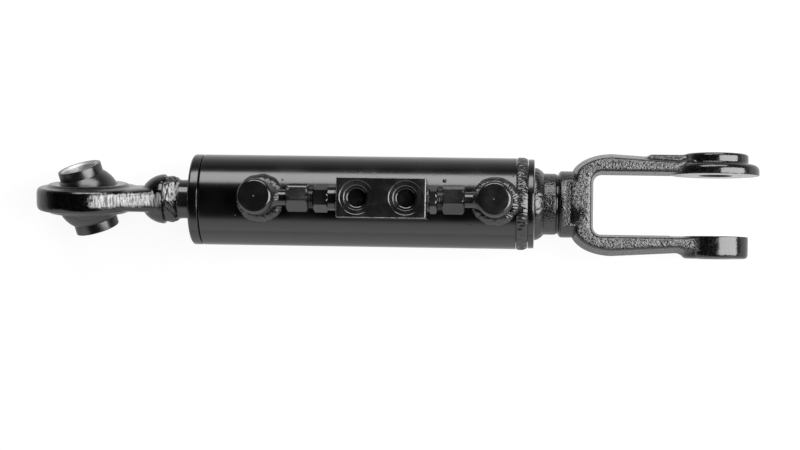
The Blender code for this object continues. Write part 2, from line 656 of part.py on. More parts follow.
def make_fork():
    """The forged fork: two drafted arms on a yoke, a turned neck, and an ear with its boss on each arm."""
    at = (CAP_FACE, 0, 0)
    outline, drafts = arm_outline()
    fork = forged_slab(
        "fork", outline, drafts, ARM_HALF_WIDTH, FORGING_EDGE, BARREL, at, UPRIGHT, look=FORGED_BLACK
    )

    neck = NECK_DIAMETER / 2
    collar = COLLAR_DIAMETER / 2
    neck_end = NECK_WELD_LENGTH + NECK_LENGTH
    collar_start = neck_end + COLLAR_GROOVE
    collar_end = collar_start + COLLAR_LENGTH
    soften = COLLAR_GROOVE
    dome = YOKE_THICKNESS * 0.85
    root = [
        (collar_end + dome * math.sin(a), collar * math.cos(a)) for a in np.radians(np.linspace(90, 0, 6))
    ]
    root[0] = (collar_end + dome, 0.0)
    root += [
        (collar_start + soften, collar),
        (collar_start, collar - soften / 2),
        (collar_start, neck - COLLAR_GROOVE_DEPTH),
        (neck_end, neck - COLLAR_GROOVE_DEPTH),
        (neck_end, neck),
        (NECK_WELD_LENGTH + SEAT_GAP, neck),
        (NECK_WELD_LENGTH + SEAT_GAP, neck - NECK_WELD_LEG),
        (SEAT_GAP, neck - NECK_WELD_LEG),
        (SEAT_GAP, 0.0),
    ]
    combine(fork, turned("fork_root", root, BARREL, at=at, steps=FORGING_STEPS), "UNION")

    options = {"at": (PIN_STATION, 0, 0), "rotation": CROSSWAYS, "steps": FORGING_STEPS}
    ear_face = EAR_HALF_GAP + EAR_THICKNESS
    lower = [
        (-EAR_HALF_GAP, 0.0),
        (-EAR_HALF_GAP, EAR_RADIUS - EAR_CHAMFER / 2),
        (-EAR_HALF_GAP - EAR_CHAMFER / 2, EAR_RADIUS),
        (-ear_face + EAR_CHAMFER, EAR_RADIUS),
        (-ear_face, EAR_RADIUS - EAR_CHAMFER),
        (-ear_face, 0.0),
    ]
    combine(fork, turned("lower_ear", lower, BARREL, **options), "UNION")
    flange_top = EAR_HALF_GAP + FLANGE_THICKNESS
    upper = [
        (ear_face, 0.0),
        (ear_face, EAR_RADIUS - EAR_CHAMFER / 2),
        (ear_face - EAR_CHAMFER / 2, EAR_RADIUS),
        (flange_top + FLANGE_NECK * 2, EAR_RADIUS),
        (flange_top + FLANGE_NECK, EAR_RADIUS - FLANGE_NECK),
        (flange_top, EAR_RADIUS),
        (flange_top, FLANGE_RADIUS - EAR_CHAMFER * 1.2),
        (flange_top - EAR_CHAMFER * 0.5, FLANGE_RADIUS - EAR_CHAMFER * 0.3),
        (flange_top - EAR_CHAMFER * 1.2, FLANGE_RADIUS),
        (EAR_HALF_GAP + EAR_CHAMFER / 2, FLANGE_RADIUS),
        (EAR_HALF_GAP, FLANGE_RADIUS - EAR_CHAMFER / 2),
        (EAR_HALF_GAP, 0.0),
    ]
    combine(fork, turned("upper_ear", upper, BARREL, **options), "UNION")

    rib_foot = FORK_REACH - RIB_START
    rib_top = ear_face - EAR_CHAMFER / 4
    rise = rib_top - FORK_HALF_GAP - EAR_ARM_THICKNESS
    rib = [
        (rib_foot, FORK_HALF_GAP + EAR_ARM_THICKNESS / 2),
        (FORK_REACH - EAR_RADIUS / 2, FORK_HALF_GAP + EAR_ARM_THICKNESS / 2),
        (FORK_REACH - EAR_RADIUS / 2, rib_top),
        (rib_foot + rise, rib_top),
        (rib_foot, rib_top - rise),
    ]
    slab = forged_slab(
        "upper_rib", rib, [OUTER_DRAFT / 2] * len(rib), RIB_HALF_WIDTH, FORGING_EDGE / 2, BARREL, at, UPRIGHT
    )
    combine(fork, slab, "UNION")

    facing = bar("ear_facing", -EAR_HALF_GAP, EAR_HALF_GAP, FLANGE_RADIUS, BARREL, **options)
    combine(fork, facing, "DIFFERENCE")
    bore = bar("pin_bore", -ear_face * 1.2, ear_face * 1.2, PIN_BORE_RADIUS, BARREL, **options)
    combine(fork, bore, "DIFFERENCE")


def make_boss(side, station, inward):
    """A port boss on the barrel, drilled down to the oil hole and across to its pipe, with its weld."""
    radius = BOSS_DIAMETER / 2
    at = (station, 0, 0)
    boss = turned(
        f"port_boss_{side}",
        [
            (BOSS_HEIGHT, 0.0),
            (BOSS_HEIGHT, radius - BOSS_CHAMFER),
            (BOSS_HEIGHT - BOSS_CHAMFER, radius),
            (BORE_RADIUS, radius),
            (BORE_RADIUS, 0.0),
        ],
        BARREL, at=at, rotation=UPRIGHT, look=BLACK_PAINT, steps=ROD_STEPS,
    )
    saddle = bar(f"saddle_{side}", -BOSS_DIAMETER, BOSS_DIAMETER, TUBE_RADIUS + SEAT_GAP, BARREL, at=at)
    combine(boss, saddle, "DIFFERENCE")
    down = bar(
        f"boss_drilling_{side}", 0.0, FITTING_HEIGHT, PORT_DRILLING / 2, BARREL,
        at=at, rotation=UPRIGHT, steps=FITTING_STEPS,
    )
    combine(boss, down, "DIFFERENCE")
    bore = PIPE_DIAMETER / 2 + SEAT_GAP
    depth = radius - PIPE_IN_BOSS - SEAT_GAP
    low, high = sorted((inward * depth, inward * BOSS_DIAMETER))
    socket = bar(
        f"pipe_socket_{side}", low, high, bore, BARREL,
        at=(station, 0, FITTING_HEIGHT), steps=FITTING_STEPS,
    )
    combine(boss, socket, "DIFFERENCE")
    low, high = sorted((0.0, inward * radius))
    across = bar(
        f"cross_drilling_{side}", low, high, PIPE_DIAMETER / 2 - PIPE_WALL, BARREL,
        at=(station, 0, FITTING_HEIGHT), steps=FITTING_STEPS,
    )
    combine(boss, across, "DIFFERENCE")
    make_boss_weld(side, station)


def make_boss_weld(side, station):
    """The fillet round a boss: a section of five points carried round it, each on the barrel's saddle."""
    inner = BOSS_DIAMETER / 2 + SEAT_GAP
    leg = BOSS_WELD_LEG
    shares = [(0.0, 0.0), (1.0, 0.0), (0.66, 0.42), (0.34, 0.76), (0.0, 1.0)]
    shape = bmesh.new()
    rings = []
    for turn in np.linspace(0.0, 2 * math.pi, ROD_STEPS, endpoint=False):
        section = []
        for across, up in shares:
            radius = inner + leg * across
            base = math.sqrt((TUBE_RADIUS + SEAT_GAP) ** 2 - (radius * math.sin(turn)) ** 2)
            point = (radius * math.cos(turn), radius * math.sin(turn), base + BOSS_WELD_HEIGHT * up)
            section.append(shape.verts.new(point))
        rings.append(section)
    for here, there in zip(rings, rings[1:] + rings[:1]):
        for i in range(len(shares)):
            j = (i + 1) % len(shares)
            shape.faces.new((here[i], there[i], there[j], here[j]))
    bmesh.ops.recalc_face_normals(shape, faces=shape.faces)
    mesh = bpy.data.meshes.new(f"boss_weld_{side}")
    shape.to_mesh(mesh)
    shape.free()
    weld = place(f"boss_weld_{side}", mesh, BARREL, (station, 0, 0), UPRIGHT, WELD_BLACK)
    crown = TUBE_RADIUS + END_WELD_CROWN + SEAT_GAP
    bead = bar(f"end_bead_clearance_{side}", TUBE_LENGTH, CAP_FACE, crown, BARREL)
    combine(weld, bead, "DIFFERENCE")


def make_fittings(side, face, inward, hex_length, collar_length, pipe_showing):
    """The stud fitting, its seal washer, union nut, cutting ring and pipe on one end of the block.

    They are drawn from the block's face outwards, and turned about when they stand on its left end.
    """
    at = (face, 0, FITTING_HEIGHT)
    outward = LENGTHWAYS if inward < 0 else (0.0, -math.pi / 2, 0.0)
    options = {"at": at, "rotation": outward, "steps": FITTING_STEPS}
    washer_end = SEAL_WASHER - SEAT_GAP
    ring(
        f"seal_washer_{side}", SEAT_GAP, washer_end, STUD_DIAMETER / 2 + SEAT_GAP,
        STUD_COLLAR_DIAMETER / 2, BARREL, look=BRIGHT_STEEL, **options,
    )
    collar_end = SEAL_WASHER + collar_length
    hex_end = collar_end + hex_length
    nut_start = hex_end + THREAD_SHOWING
    nut_end = nut_start + NUT_LENGTH
    thread_end = nut_start + NUT_OVERLAP
    pipe_radius = PIPE_DIAMETER / 2
    pipe_start = hex_end + THREAD_SHOWING / 2
    corner = STUD_HEX_ACROSS_FLATS / math.sqrt(3)
    ease = corner - STUD_HEX_ACROSS_FLATS / 2
    collar = [(collar_end, STUD_COLLAR_DIAMETER / 2), (SEAL_WASHER, STUD_COLLAR_DIAMETER / 2)]
    outline = [
        (thread_end, pipe_radius + SEAT_GAP),
        (thread_end, THREAD_DIAMETER / 2 - ease / 2),
        (thread_end - ease / 2, THREAD_DIAMETER / 2),
        (hex_end, THREAD_DIAMETER / 2),
        (hex_end, corner - ease),
        (hex_end - ease / 2, corner),
        (collar_end + ease / 2, corner),
        (collar_end, corner - ease),
        *(collar if collar_length else []),
        (collar_end - collar_length, STUD_DIAMETER / 2),
        (ease - STUD_LENGTH, STUD_DIAMETER / 2),
        (-STUD_LENGTH, STUD_DIAMETER / 2 - ease),
        (-STUD_LENGTH, STUD_BORE / 2),
        (pipe_start - SEAT_GAP, STUD_BORE / 2),
        (pipe_start - SEAT_GAP, pipe_radius + SEAT_GAP),
    ]
    fitting = turned(f"stud_fitting_{side}", outline, BARREL, look=BLACK_PAINT, **options)
    flats_cutter(fitting, collar_end, hex_end, STUD_HEX_ACROSS_FLATS, at, outward, 0.0)

    nut_corner = NUT_ACROSS_FLATS / math.sqrt(3)
    ease = nut_corner - NUT_ACROSS_FLATS / 2
    floor = nut_end - NUT_FLOOR
    thread = THREAD_DIAMETER / 2 + SEAT_GAP
    nut = [
        (nut_end, pipe_radius + SEAT_GAP),
        (nut_end, nut_corner - ease * 1.6),
        (nut_end - ease, nut_corner),
        (nut_start + ease * 0.6, nut_corner),
        (nut_start, nut_corner - ease),
        (nut_start, thread),
        (floor, thread),
        (floor, pipe_radius + SEAT_GAP),
    ]
    body = turned(f"union_nut_{side}", nut, BARREL, look=BLACK_PAINT, **options)
    flats_cutter(body, nut_start, nut_end, NUT_ACROSS_FLATS, at, outward, math.pi / 6)

    ring_outer = pipe_radius + CUTTING_RING_WALL
    ring_end = floor - SEAT_GAP
    ring_start = max(thread_end + SEAT_GAP, ring_end - CUTTING_RING_LENGTH)
    cutting = [
        (ring_end, pipe_radius + SEAT_GAP),
        (ring_end, ring_outer),
        ((ring_start + ring_end) / 2, ring_outer),
        (ring_start, pipe_radius + CUTTING_RING_WALL / 2),
        (ring_start, pipe_radius + SEAT_GAP),
    ]
    turned(f"cutting_ring_{side}", cutting, BARREL, look=BRIGHT_STEEL, **options)

    pipe_end = nut_end + pipe_showing + PIPE_IN_BOSS
    ring(
        f"pipe_{side}", pipe_start, pipe_end, pipe_radius - PIPE_WALL, pipe_radius, BARREL,
        look=BLACK_PAINT, **options,
    )
    bead_end = nut_end + pipe_showing + SEAT_GAP
    bead = [
        (bead_end, pipe_radius + SEAT_GAP),
        (bead_end, pipe_radius + PIPE_WELD_LEG),
        (bead_end - PIPE_WELD_LENGTH / 2, pipe_radius + PIPE_WELD_LEG),
        (bead_end - PIPE_WELD_LENGTH, pipe_radius + SEAT_GAP * 2),
        (bead_end - PIPE_WELD_LENGTH, pipe_radius + SEAT_GAP),
    ]
    weld = turned(f"pipe_weld_{side}", bead, BARREL, look=WELD_BLACK, **options)
    station = BOSS_LEFT if side == "left" else BOSS_RIGHT
    round_boss = bar(
        f"boss_clearance_{side}", 0.0, BOSS_HEIGHT, BOSS_DIAMETER / 2 + SEAT_GAP, BARREL,
        at=(station, 0, 0), rotation=UPRIGHT, steps=ROD_STEPS,
    )
    combine(weld, round_boss, "DIFFERENCE")


def flats_cutter(obj, start, end, across_flats, at, rotation, turn):
    """Leaves six flats on a turned blank between two heights, cut by a sleeve with a hexagonal hole."""
    sleeve = ring(
        f"{obj.name}_sleeve", start, end, across_flats * 0.4, across_flats, BARREL,
        at=at, rotation=rotation, steps=FITTING_STEPS,
    )
    hole = hexagon(
        f"{obj.name}_hexagon", start - THREAD_SHOWING, end + THREAD_SHOWING, across_flats, BARREL, at, turn
    )
    hole.rotation_euler = rotation
    combine(sleeve, hole, "DIFFERENCE")
    combine(obj, sleeve, "DIFFERENCE")


def make_block():
    """The valve block, bored along its length for the check valves and faced for two hose ports."""
    middle_height = FITTING_HEIGHT + BLOCK_RISE
    shape = bmesh.new()
    bmesh.ops.create_cube(shape, size=1.0)
    bmesh.ops.scale(shape, verts=shape.verts, vec=(BLOCK_LENGTH, BLOCK_WIDTH, BLOCK_DEPTH))
    mesh = bpy.data.meshes.new("valve_block")
    shape.to_mesh(mesh)
    shape.free()
    block = place("valve_block", mesh, BARREL, (BLOCK_MIDDLE, 0, middle_height), UPRIGHT, BLACK_PAINT)
    bevel = block.modifiers.new("edges", "BEVEL")
    bevel.width = BLOCK_EDGE
    bevel.segments = 2

    half = BLOCK_LENGTH / 2
    stud = STUD_DIAMETER / 2 + SEAT_GAP
    right = [
        (half + BLOCK_WIDTH / 4, 0.0),
        (half + BLOCK_WIDTH / 4, stud),
        (STUD_BOTTOM, stud),
        (STUD_BOTTOM, CHECK_BORE / 2),
        (CHECK_SEAT, CHECK_BORE / 2),
        (CHECK_SEAT, SEAT_BORE / 2),
        (PILOT_END, SEAT_BORE / 2),
        (PILOT_END, PILOT_BORE / 2),
    ]
    left = [(-height, radius) for height, radius in reversed(right)]
    along = turned(
        "check_bore", right + left, BARREL, at=(BLOCK_MIDDLE, 0, FITTING_HEIGHT), steps=FITTING_STEPS
    )
    combine(block, along, "DIFFERENCE")

    face = middle_height + BLOCK_DEPTH / 2
    floor = face - PORT_DEPTH
    mouth = (PORT_MOUTH - PORT_BORE) / 2
    shelf = face - PORT_FACE_DEPTH
    for side, sign in (("left", -1), ("right", 1)):
        port = [
            (face + PORT_DEPTH / 4, 0.0),
            (face + PORT_DEPTH / 4, PORT_FACE / 2),
            (shelf, PORT_FACE / 2),
            (shelf, PORT_MOUTH / 2),
            (shelf - mouth, PORT_BORE / 2),
            (floor, PORT_BORE / 2),
            (floor, 0.0),
        ]
        centre = BLOCK_MIDDLE + sign * PORT_SPACING / 2
        cutter = turned(
            f"hose_port_{side}", port, BARREL, at=(centre, 0, 0), rotation=UPRIGHT, steps=ROD_STEPS
        )
        combine(block, cutter, "DIFFERENCE")
        gallery = bar(
            f"gallery_{side}", FITTING_HEIGHT, face - PORT_DEPTH / 2, GALLERY / 2, BARREL,
            at=(BLOCK_MIDDLE + sign * (PILOT_END - GALLERY * 0.6), 0, 0),
            rotation=UPRIGHT, steps=FITTING_STEPS // 2,
        )
        combine(block, gallery, "DIFFERENCE")


def make_check(side, sign):
    """One check poppet on its seat, with the spring that closes it."""
    frame = new_frame(f"check_{side}_axis", (BLOCK_MIDDLE, 0, FITTING_HEIGHT), BARREL)
    rotation = LENGTHWAYS if sign > 0 else (0.0, -math.pi / 2, 0.0)
    seat = SEAT_BORE / 2 - SEAT_GAP
    body = CHECK_BORE / 2 - SEAT_GAP
    back = CHECK_SEAT + POPPET_LENGTH
    pocket = body - SPRING_WIRE * 2
    cone_end = CHECK_SEAT + (body - seat)
    poppet = [
        (cone_end, 0.0),
        (cone_end, pocket),
        (back, pocket),
        (back, body),
        (cone_end, body),
        (CHECK_SEAT, seat),
        (CHECK_SEAT - POPPET_NOSE, seat - POPPET_NOSE),
        (CHECK_SEAT - POPPET_NOSE, 0.0),
    ]
    turned(f"check_poppet_{side}", poppet, frame, rotation=rotation, look=BRIGHT_STEEL, steps=FITTING_STEPS)

    start = cone_end + SEAT_GAP + SPRING_WIRE / 2
    end = STUD_BOTTOM - SPRING_WIRE / 2
    coil = pocket - SEAT_GAP - SPRING_WIRE / 2
    curve = bpy.data.curves.new(f"check_spring_{side}", "CURVE")
    curve.dimensions = "3D"
    curve.bevel_depth = SPRING_WIRE / 2
    curve.bevel_resolution = 1
    curve.use_fill_caps = True
    turns = np.linspace(0.0, SPRING_TURNS, SPRING_TURNS * 6 + 1)
    spline = curve.splines.new("POLY")
    spline.points.add(len(turns) - 1)
    for point, turn in zip(spline.points, turns):
        angle = 2 * math.pi * turn
        height = start + (end - start) * turn / SPRING_TURNS
        point.co = (coil * math.cos(angle), coil * math.sin(angle), height, 1.0)
    place(f"check_spring_{side}", curve, frame, (0, 0, 0), rotation, BRIGHT_STEEL)


def make_pilot():
    """The pilot piston, free between the two poppets, with a pin at each end that can open one."""
    frame = new_frame("pilot_axis", (BLOCK_MIDDLE, 0, FITTING_HEIGHT), BARREL)
    body = PILOT_BORE / 2 - SEAT_GAP
    body_end = PILOT_END - PILOT_CHAMBER
    pin_end = CHECK_SEAT - POPPET_NOSE - PILOT_GAP
    top = [(pin_end, 0.0), (pin_end, PILOT_PIN / 2), (body_end, PILOT_PIN / 2), (body_end, body)]
    bottom = [(-height, radius) for height, radius in reversed(top)]
    turned("pilot_piston", top + bottom, frame, look=BRIGHT_STEEL, steps=FITTING_STEPS)


clear_scene()
PARTS = new_collection("hydraulic_top_link")
CUTTERS = new_collection("cutters")
BARREL = new_frame("barrel_axis", (-MID_STATION, 0, AXIS_HEIGHT))
SEALS = new_frame("piston_slide", (0, 0, 0), BARREL)
ROD = new_frame("rod_turn", (0, 0, 0), SEALS)
BALL = new_frame("ball_swivel", (BALL_STATION, 0, 0), ROD)
BALL.rotation_euler = (
    Matrix.Rotation(BALL_TILT, 3, BALL_TILT_AXIS) @ Matrix.Rotation(EYE_ROLL + CROSSWAYS[0], 3, "X")
).to_euler()

make_tube()
make_gland()
make_end_cap()
make_piston()
make_eye()
make_ball()
make_fork()
make_boss("left", BOSS_LEFT, 1)
make_boss("right", BOSS_RIGHT, -1)
make_block()
make_fittings("left", BLOCK_START, 1, STUD_HEX_LEFT, STUD_COLLAR_LEFT, PIPE_SHOWING_LEFT)
make_fittings("right", BLOCK_END, -1, STUD_HEX_RIGHT, 0.0, PIPE_SHOWING_RIGHT)
make_check("left", -1)
make_check("right", 1)
make_pilot()

for part in PARTS.objects:
    if part.type == "MESH":
        part.data.shade_smooth()
        part.data.set_sharp_from_angle(angle=math.radians(35))
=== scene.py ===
"""Looks of the hydraulic top link: its fine surfaces, its finishes, the studio and the camera."""

import json
import logging
import math
from dataclasses import dataclass, field
from enum import Enum
from typing import Any, Callable, Sequence

import bmesh
import bpy
import numpy as np
from mathutils import Matrix, Vector

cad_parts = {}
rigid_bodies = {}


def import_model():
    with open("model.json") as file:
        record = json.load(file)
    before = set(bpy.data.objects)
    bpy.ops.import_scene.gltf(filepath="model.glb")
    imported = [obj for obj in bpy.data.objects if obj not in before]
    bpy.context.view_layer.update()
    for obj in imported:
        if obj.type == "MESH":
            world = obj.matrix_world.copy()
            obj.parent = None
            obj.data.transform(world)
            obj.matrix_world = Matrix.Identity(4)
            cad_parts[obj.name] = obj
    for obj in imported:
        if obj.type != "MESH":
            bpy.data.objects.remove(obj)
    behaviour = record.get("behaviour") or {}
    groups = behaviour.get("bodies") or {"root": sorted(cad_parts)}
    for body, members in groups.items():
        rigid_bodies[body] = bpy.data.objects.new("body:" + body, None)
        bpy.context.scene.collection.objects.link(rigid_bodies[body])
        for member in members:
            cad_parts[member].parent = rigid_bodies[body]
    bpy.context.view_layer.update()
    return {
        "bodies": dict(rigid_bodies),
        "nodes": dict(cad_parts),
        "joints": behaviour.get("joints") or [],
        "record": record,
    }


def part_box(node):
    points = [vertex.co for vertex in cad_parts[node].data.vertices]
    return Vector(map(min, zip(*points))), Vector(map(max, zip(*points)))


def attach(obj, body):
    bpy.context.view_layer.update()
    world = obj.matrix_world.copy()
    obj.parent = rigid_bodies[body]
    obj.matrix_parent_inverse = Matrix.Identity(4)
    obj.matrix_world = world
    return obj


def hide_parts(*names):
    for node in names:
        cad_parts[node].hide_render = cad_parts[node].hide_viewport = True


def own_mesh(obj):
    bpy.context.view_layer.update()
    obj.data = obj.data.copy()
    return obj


log = logging.getLogger("top_link")

MM = 0.001
X_AXIS = (1.0, 0.0, 0.0)
Y_AXIS = (0.0, 1.0, 0.0)
Z_AXIS = (0.0, 0.0, 1.0)
SMOOTH_BELOW = math.radians(32)
MERGE_WITHIN = 1e-7
FIT = 0.3 * MM  # the gap that pieces keep where threads and fits would touch

Triple = tuple[float, float, float]
Stop = tuple[float, Triple]
RowsToRows = Callable[[np.ndarray], np.ndarray]


# ---- Shader maths


class Value:
    """A number that varies over a surface, held as the node socket that gives it."""

    def __init__(self, graph: "Graph", socket: Any) -> None:
        """Keeps the graph and the socket."""
        self.graph = graph
        self.socket = socket

    def maths(self, operation: str, *others: Any) -> "Value":
        """The result of a Math node whose first input is this value."""
        return self.graph.node("ShaderNodeMath", {"operation": operation}, dict(enumerate((self, *others))))

    def __add__(self, other: Any) -> "Value":
        """self + other."""
        return self.maths("ADD", other)

    __radd__ = __add__

    def __sub__(self, other: Any) -> "Value":
        """self - other."""
        return self.maths("SUBTRACT", other)

    def __rsub__(self, other: float) -> "Value":
        """other - self."""
        return self.graph.node("ShaderNodeMath", {"operation": "SUBTRACT"}, {0: other, 1: self})

    def __mul__(self, other: Any) -> "Value":
        """self * other."""
        return self.maths("MULTIPLY", other)

    __rmul__ = __mul__

    def between(self, low: float, high: float) -> "Value":
        """A smooth step from 0 at low to 1 at high; with low above high it falls."""
        inputs = {"Value": self, "From Min": low, "From Max": high}
        return self.graph.node("ShaderNodeMapRange", {"interpolation_type": "SMOOTHSTEP"}, inputs)


class Graph:
    """The node tree of one material or of the world."""

    def __init__(self, tree: Any) -> None:
        """Empties the tree."""
        self.tree = tree
        tree.nodes.clear()

    def node(self, kind: str, settings: dict[str, Any], inputs: dict[Any, Any], output: Any = 0) -> Value:
        """Adds a node.

        Args:
            kind: the node's type name.
            settings: its properties, set first; "stops" fills a colour ramp.
            inputs: socket name or number to a number, a colour or a Value.
            output: the name or number of the socket to return.

        Returns:
            The chosen output.
        """
        made = self.tree.nodes.new(kind)
        for key, value in settings.items():
            if key == "stops":
                ramp = made.color_ramp.elements
                while len(ramp) < len(value):
                    ramp.new(0.5)
                for element, (position, colour) in zip(ramp, value):
                    element.position = position
                    element.color = (*colour, 1.0)
            else:
                setattr(made, key, value)
        for key, value in inputs.items():
            if isinstance(value, Value):
                self.tree.links.new(value.socket, made.inputs[key])
            else:
                made.inputs[key].default_value = value
        return Value(self, made.outputs[output]) if made.outputs else Value(self, None)

    def place(self, centre: Sequence[float] = (0, 0, 0)) -> Value:
        """Object coordinates seen from a centre."""
        where = self.node("ShaderNodeTexCoord", {}, {}, "Object")
        return self.node("ShaderNodeMapping", {"vector_type": "TEXTURE"}, {"Vector": where, "Location": centre})

    def axis(self, where: Value, letter: str) -> Value:
        """One coordinate, by its letter."""
        return self.node("ShaderNodeSeparateXYZ", {}, {"Vector": where}, letter)

    def vector(self, operation: str, *inputs: Any, output: str = "Value") -> Value:
        """The Value or Vector output of a Vector Math node with the given inputs."""
        return self.node("ShaderNodeVectorMath", {"operation": operation}, dict(enumerate(inputs)), output)

    def drawn_out(self, where: Value, share: float, turn: float = 0.0) -> Value:
        """Coordinates shrunk to a share along Y and Z, then turned about Z: a noise read there makes long marks."""
        inputs = {"Vector": where, "Rotation": (0.0, 0.0, turn), "Scale": (1.0, share, share)}
        return self.node("ShaderNodeMapping", {}, inputs)

    def noise(self, where: Value, size: float, detail: float = 3.0, rough: float = 0.55) -> Value:
        """Soft noise around 0.5.

        Args:
            where: the coordinates to read it at.
            size: the size of its blobs in metres.
            detail: the number of finer layers.
            rough: how strong the finer layers are.

        Returns:
            The noise.
        """
        inputs = {"Vector": where, "Scale": 1.0 / size, "Detail": detail, "Roughness": rough}
        return self.node("ShaderNodeTexNoise", {}, inputs, "Fac")

    def cells(self, where: Value, size: float) -> Value:
        """Distance to the nearest of scattered points, about a size apart."""
        return self.node("ShaderNodeTexVoronoi", {}, {"Vector": where, "Scale": 1.0 / size}, "Distance")

    def ramp(self, value: Value, stops: Sequence[Stop]) -> Value:
        """A colour that follows a value through the given stops."""
        return self.node("ShaderNodeValToRGB", {"stops": stops}, {"Fac": value}, "Color")

    def bump(self, height: Value, distance: float) -> Value:
        """A normal tilted by a height that runs from 0 to 1, where 1 is distance metres."""
        inputs = {"Height": height, "Distance": distance, "Strength": 1.0}
        return self.node("ShaderNodeBump", {}, inputs, "Normal")

    def surface(self, **sockets: Any) -> None:
        """Ends the tree in a Principled shader whose sockets are named with _ for a space."""
        named = {key.replace("_", " "): value for key, value in sockets.items()}
        shader = self.node("ShaderNodeBsdfPrincipled", {}, named, "BSDF")
        self.node("ShaderNodeOutputMaterial", {}, {"Surface": shader})


def new_material(name: str) -> tuple[Any, Graph]:
    """Makes an empty material.

    Args:
        name: its name.

    Returns:
        The material and its graph.
    """
    material = bpy.data.materials.new(name)
    material.use_nodes = True
    return material, Graph(material.node_tree)


# ---- Finishes


@dataclass(frozen=True)
class Paint:
    """A finish: it has a name, makes its material, and leaves the surface to its kind."""

    name: str

    def build(self) -> Any:
        """Makes the material."""
        material, graph = new_material(self.name)
        self.cover(graph, graph.place())
        return material

    def cover(self, graph: Graph, where: Value) -> None:
        """Ends the graph in a surface.

        Args:
            graph: the material's graph, empty but for the coordinates.
            where: the object's coordinates.
        """
        raise NotImplementedError


@dataclass(frozen=True)
class GlossPaint(Paint):
    """Black enamel over a smooth turned surface, with a faint orange peel and small changes of gloss.

    colour is the paint's, dusty the colour where a thin film of dust dulls it, and peel the bump's height.
    """

    colour: Triple = (0.0005, 0.0005, 0.0006)
    dusty: Triple = (0.002, 0.002, 0.0022)
    roughness: float = 0.11
    spread: float = 0.10
    peel: float = 0.000012
    peel_size: float = 0.0016

    def cover(self, graph: Graph, where: Value) -> None:
        """Fills in the surface."""
        cloud = graph.noise(where, 0.035, 4.0)
        fine = graph.noise(where, self.peel_size, 1.0)
        speck = graph.noise(where, 0.0006, 2.0).between(0.62, 0.78)
        patch = cloud.between(0.42, 0.68)
        graph.surface(
            Base_Color=graph.ramp(patch * 0.7 + speck * 0.3, [(0.0, self.colour), (1.0, self.dusty)]),
            Roughness=patch * self.spread + speck * 0.08 + self.roughness,
            Normal=graph.bump(fine, self.peel),
            IOR=1.5,
        )


@dataclass(frozen=True)
class ForgedPaint(Paint):
    """Black enamel over a drop forging's rough scale: fine lumps and pits that glint, on slow swells.

    From calm_from to calm_to along X the skin gets calm, as on the dressed ears. On the far arm this comes calm_lead
    sooner. Before that, past dull_from along X and further than dull_height from the height middle, lie the blasted
    die faces. They are dull and pale but for a spot of painted shade at run, as wide as painted_shade_size, where the
    paint is dark, glossy and calm. A turned band lies between the two values of X in smooth.
    """

    colour: Triple = (0.0012, 0.0012, 0.0013)
    scale_colour: Triple = (0.007, 0.007, 0.0073)
    roughness: float = 0.10
    lump_size: float = 0.0014
    swell_size: float = 0.0075
    pit_size: float = 0.0021
    depth: float = 0.00075
    calm_from: float = 1.0
    calm_to: float = 1.1
    calm_lead: float = 0.012
    middle: float = 0.0
    dull_height: float = 1.0
    dull_from: float = 0.0
    dull_colour: Triple = (0.085, 0.085, 0.085)
    # run and painted_shade_size place a painted shade: a dark, calm, glossy spot on the die faces where the hub lies in
    # shade.
    painted_shade_at: tuple[float, float] = (0.1395, -0.0085)
    painted_shade_size: float = 0.0095
    smooth: tuple[float, float] = (1.0, 1.01)

    def skin(self, graph: Graph, where: Value) -> tuple[Value, Value, Value]:
        """The forging's height, how pale each spot is, and how rough.

        Args:
            graph: the material's graph.
            where: the coordinates.

        Returns:
            Height for the bump, paleness (0 is paint, 0.3 scale, 1 a dull high spot) and added roughness.
        """
        lumps = graph.noise(where, self.lump_size, 2.5, 0.6)
        swell = graph.noise(where, self.swell_size, 2.0)
        pits = graph.cells(where, self.pit_size)
        grain = graph.noise(where, 0.0005, 2.0)
        x, y, z = (graph.axis(where, letter) for letter in "XYZ")
        calm = (x + y.between(0.0, 0.02) * self.calm_lead).between(self.calm_from, self.calm_to)
        rough = lumps * 0.62 + pits * 0.22 + grain * 0.05
        off = (z - self.middle).maths("ABSOLUTE").between(self.dull_height - 0.0004, self.dull_height)
        flat = graph.node("ShaderNodeCombineXYZ", {}, {"X": x, "Y": y}, "Vector")
        # away and bare mark the painted shade: bare falls to 0 within about painted_shade_size of run.
        away = graph.vector("DISTANCE", flat, (*self.painted_shade_at, 0.0))
        bare = (away + swell * 0.008).between(self.painted_shade_size * 0.55, self.painted_shade_size * 1.55)
        start, end = self.smooth
        rugged = 1 - x.between(start - 0.0004, start) * x.between(end, end - 0.0004) * 0.92
        height = (rough * (1 - calm * 0.93) * (bare * 0.8 + 0.2) + swell * 0.35) * rugged
        dull = off * x.between(self.dull_from, self.dull_from + 0.003) * (1 - calm)
        speckle = graph.noise(where, 0.0012, 2.5, 0.7).between(0.42, 0.58) * 0.94 + 0.06
        pale = (lumps * 0.75 + pits * 0.25).between(0.40, 0.68) * 0.3 * (1 - dull) + speckle * dull
        # Inside the painted shade at run the paleness drops, which darkens the colour.
        pale = pale * (bare * 0.97 + 0.03) * rugged
        return height, pale, grain.between(0.3, 0.8) * 0.14 + pale * 0.15

    def cover(self, graph: Graph, where: Value) -> None:
        """Fills in the surface."""
        height, pale, added = self.skin(graph, where)
        graph.surface(
            Base_Color=graph.ramp(pale, [(0.0, self.colour), (0.3, self.scale_colour), (1.0, self.dull_colour)]),
            Roughness=added + self.roughness,
            Normal=graph.bump(height, self.depth),
            IOR=1.5,
        )


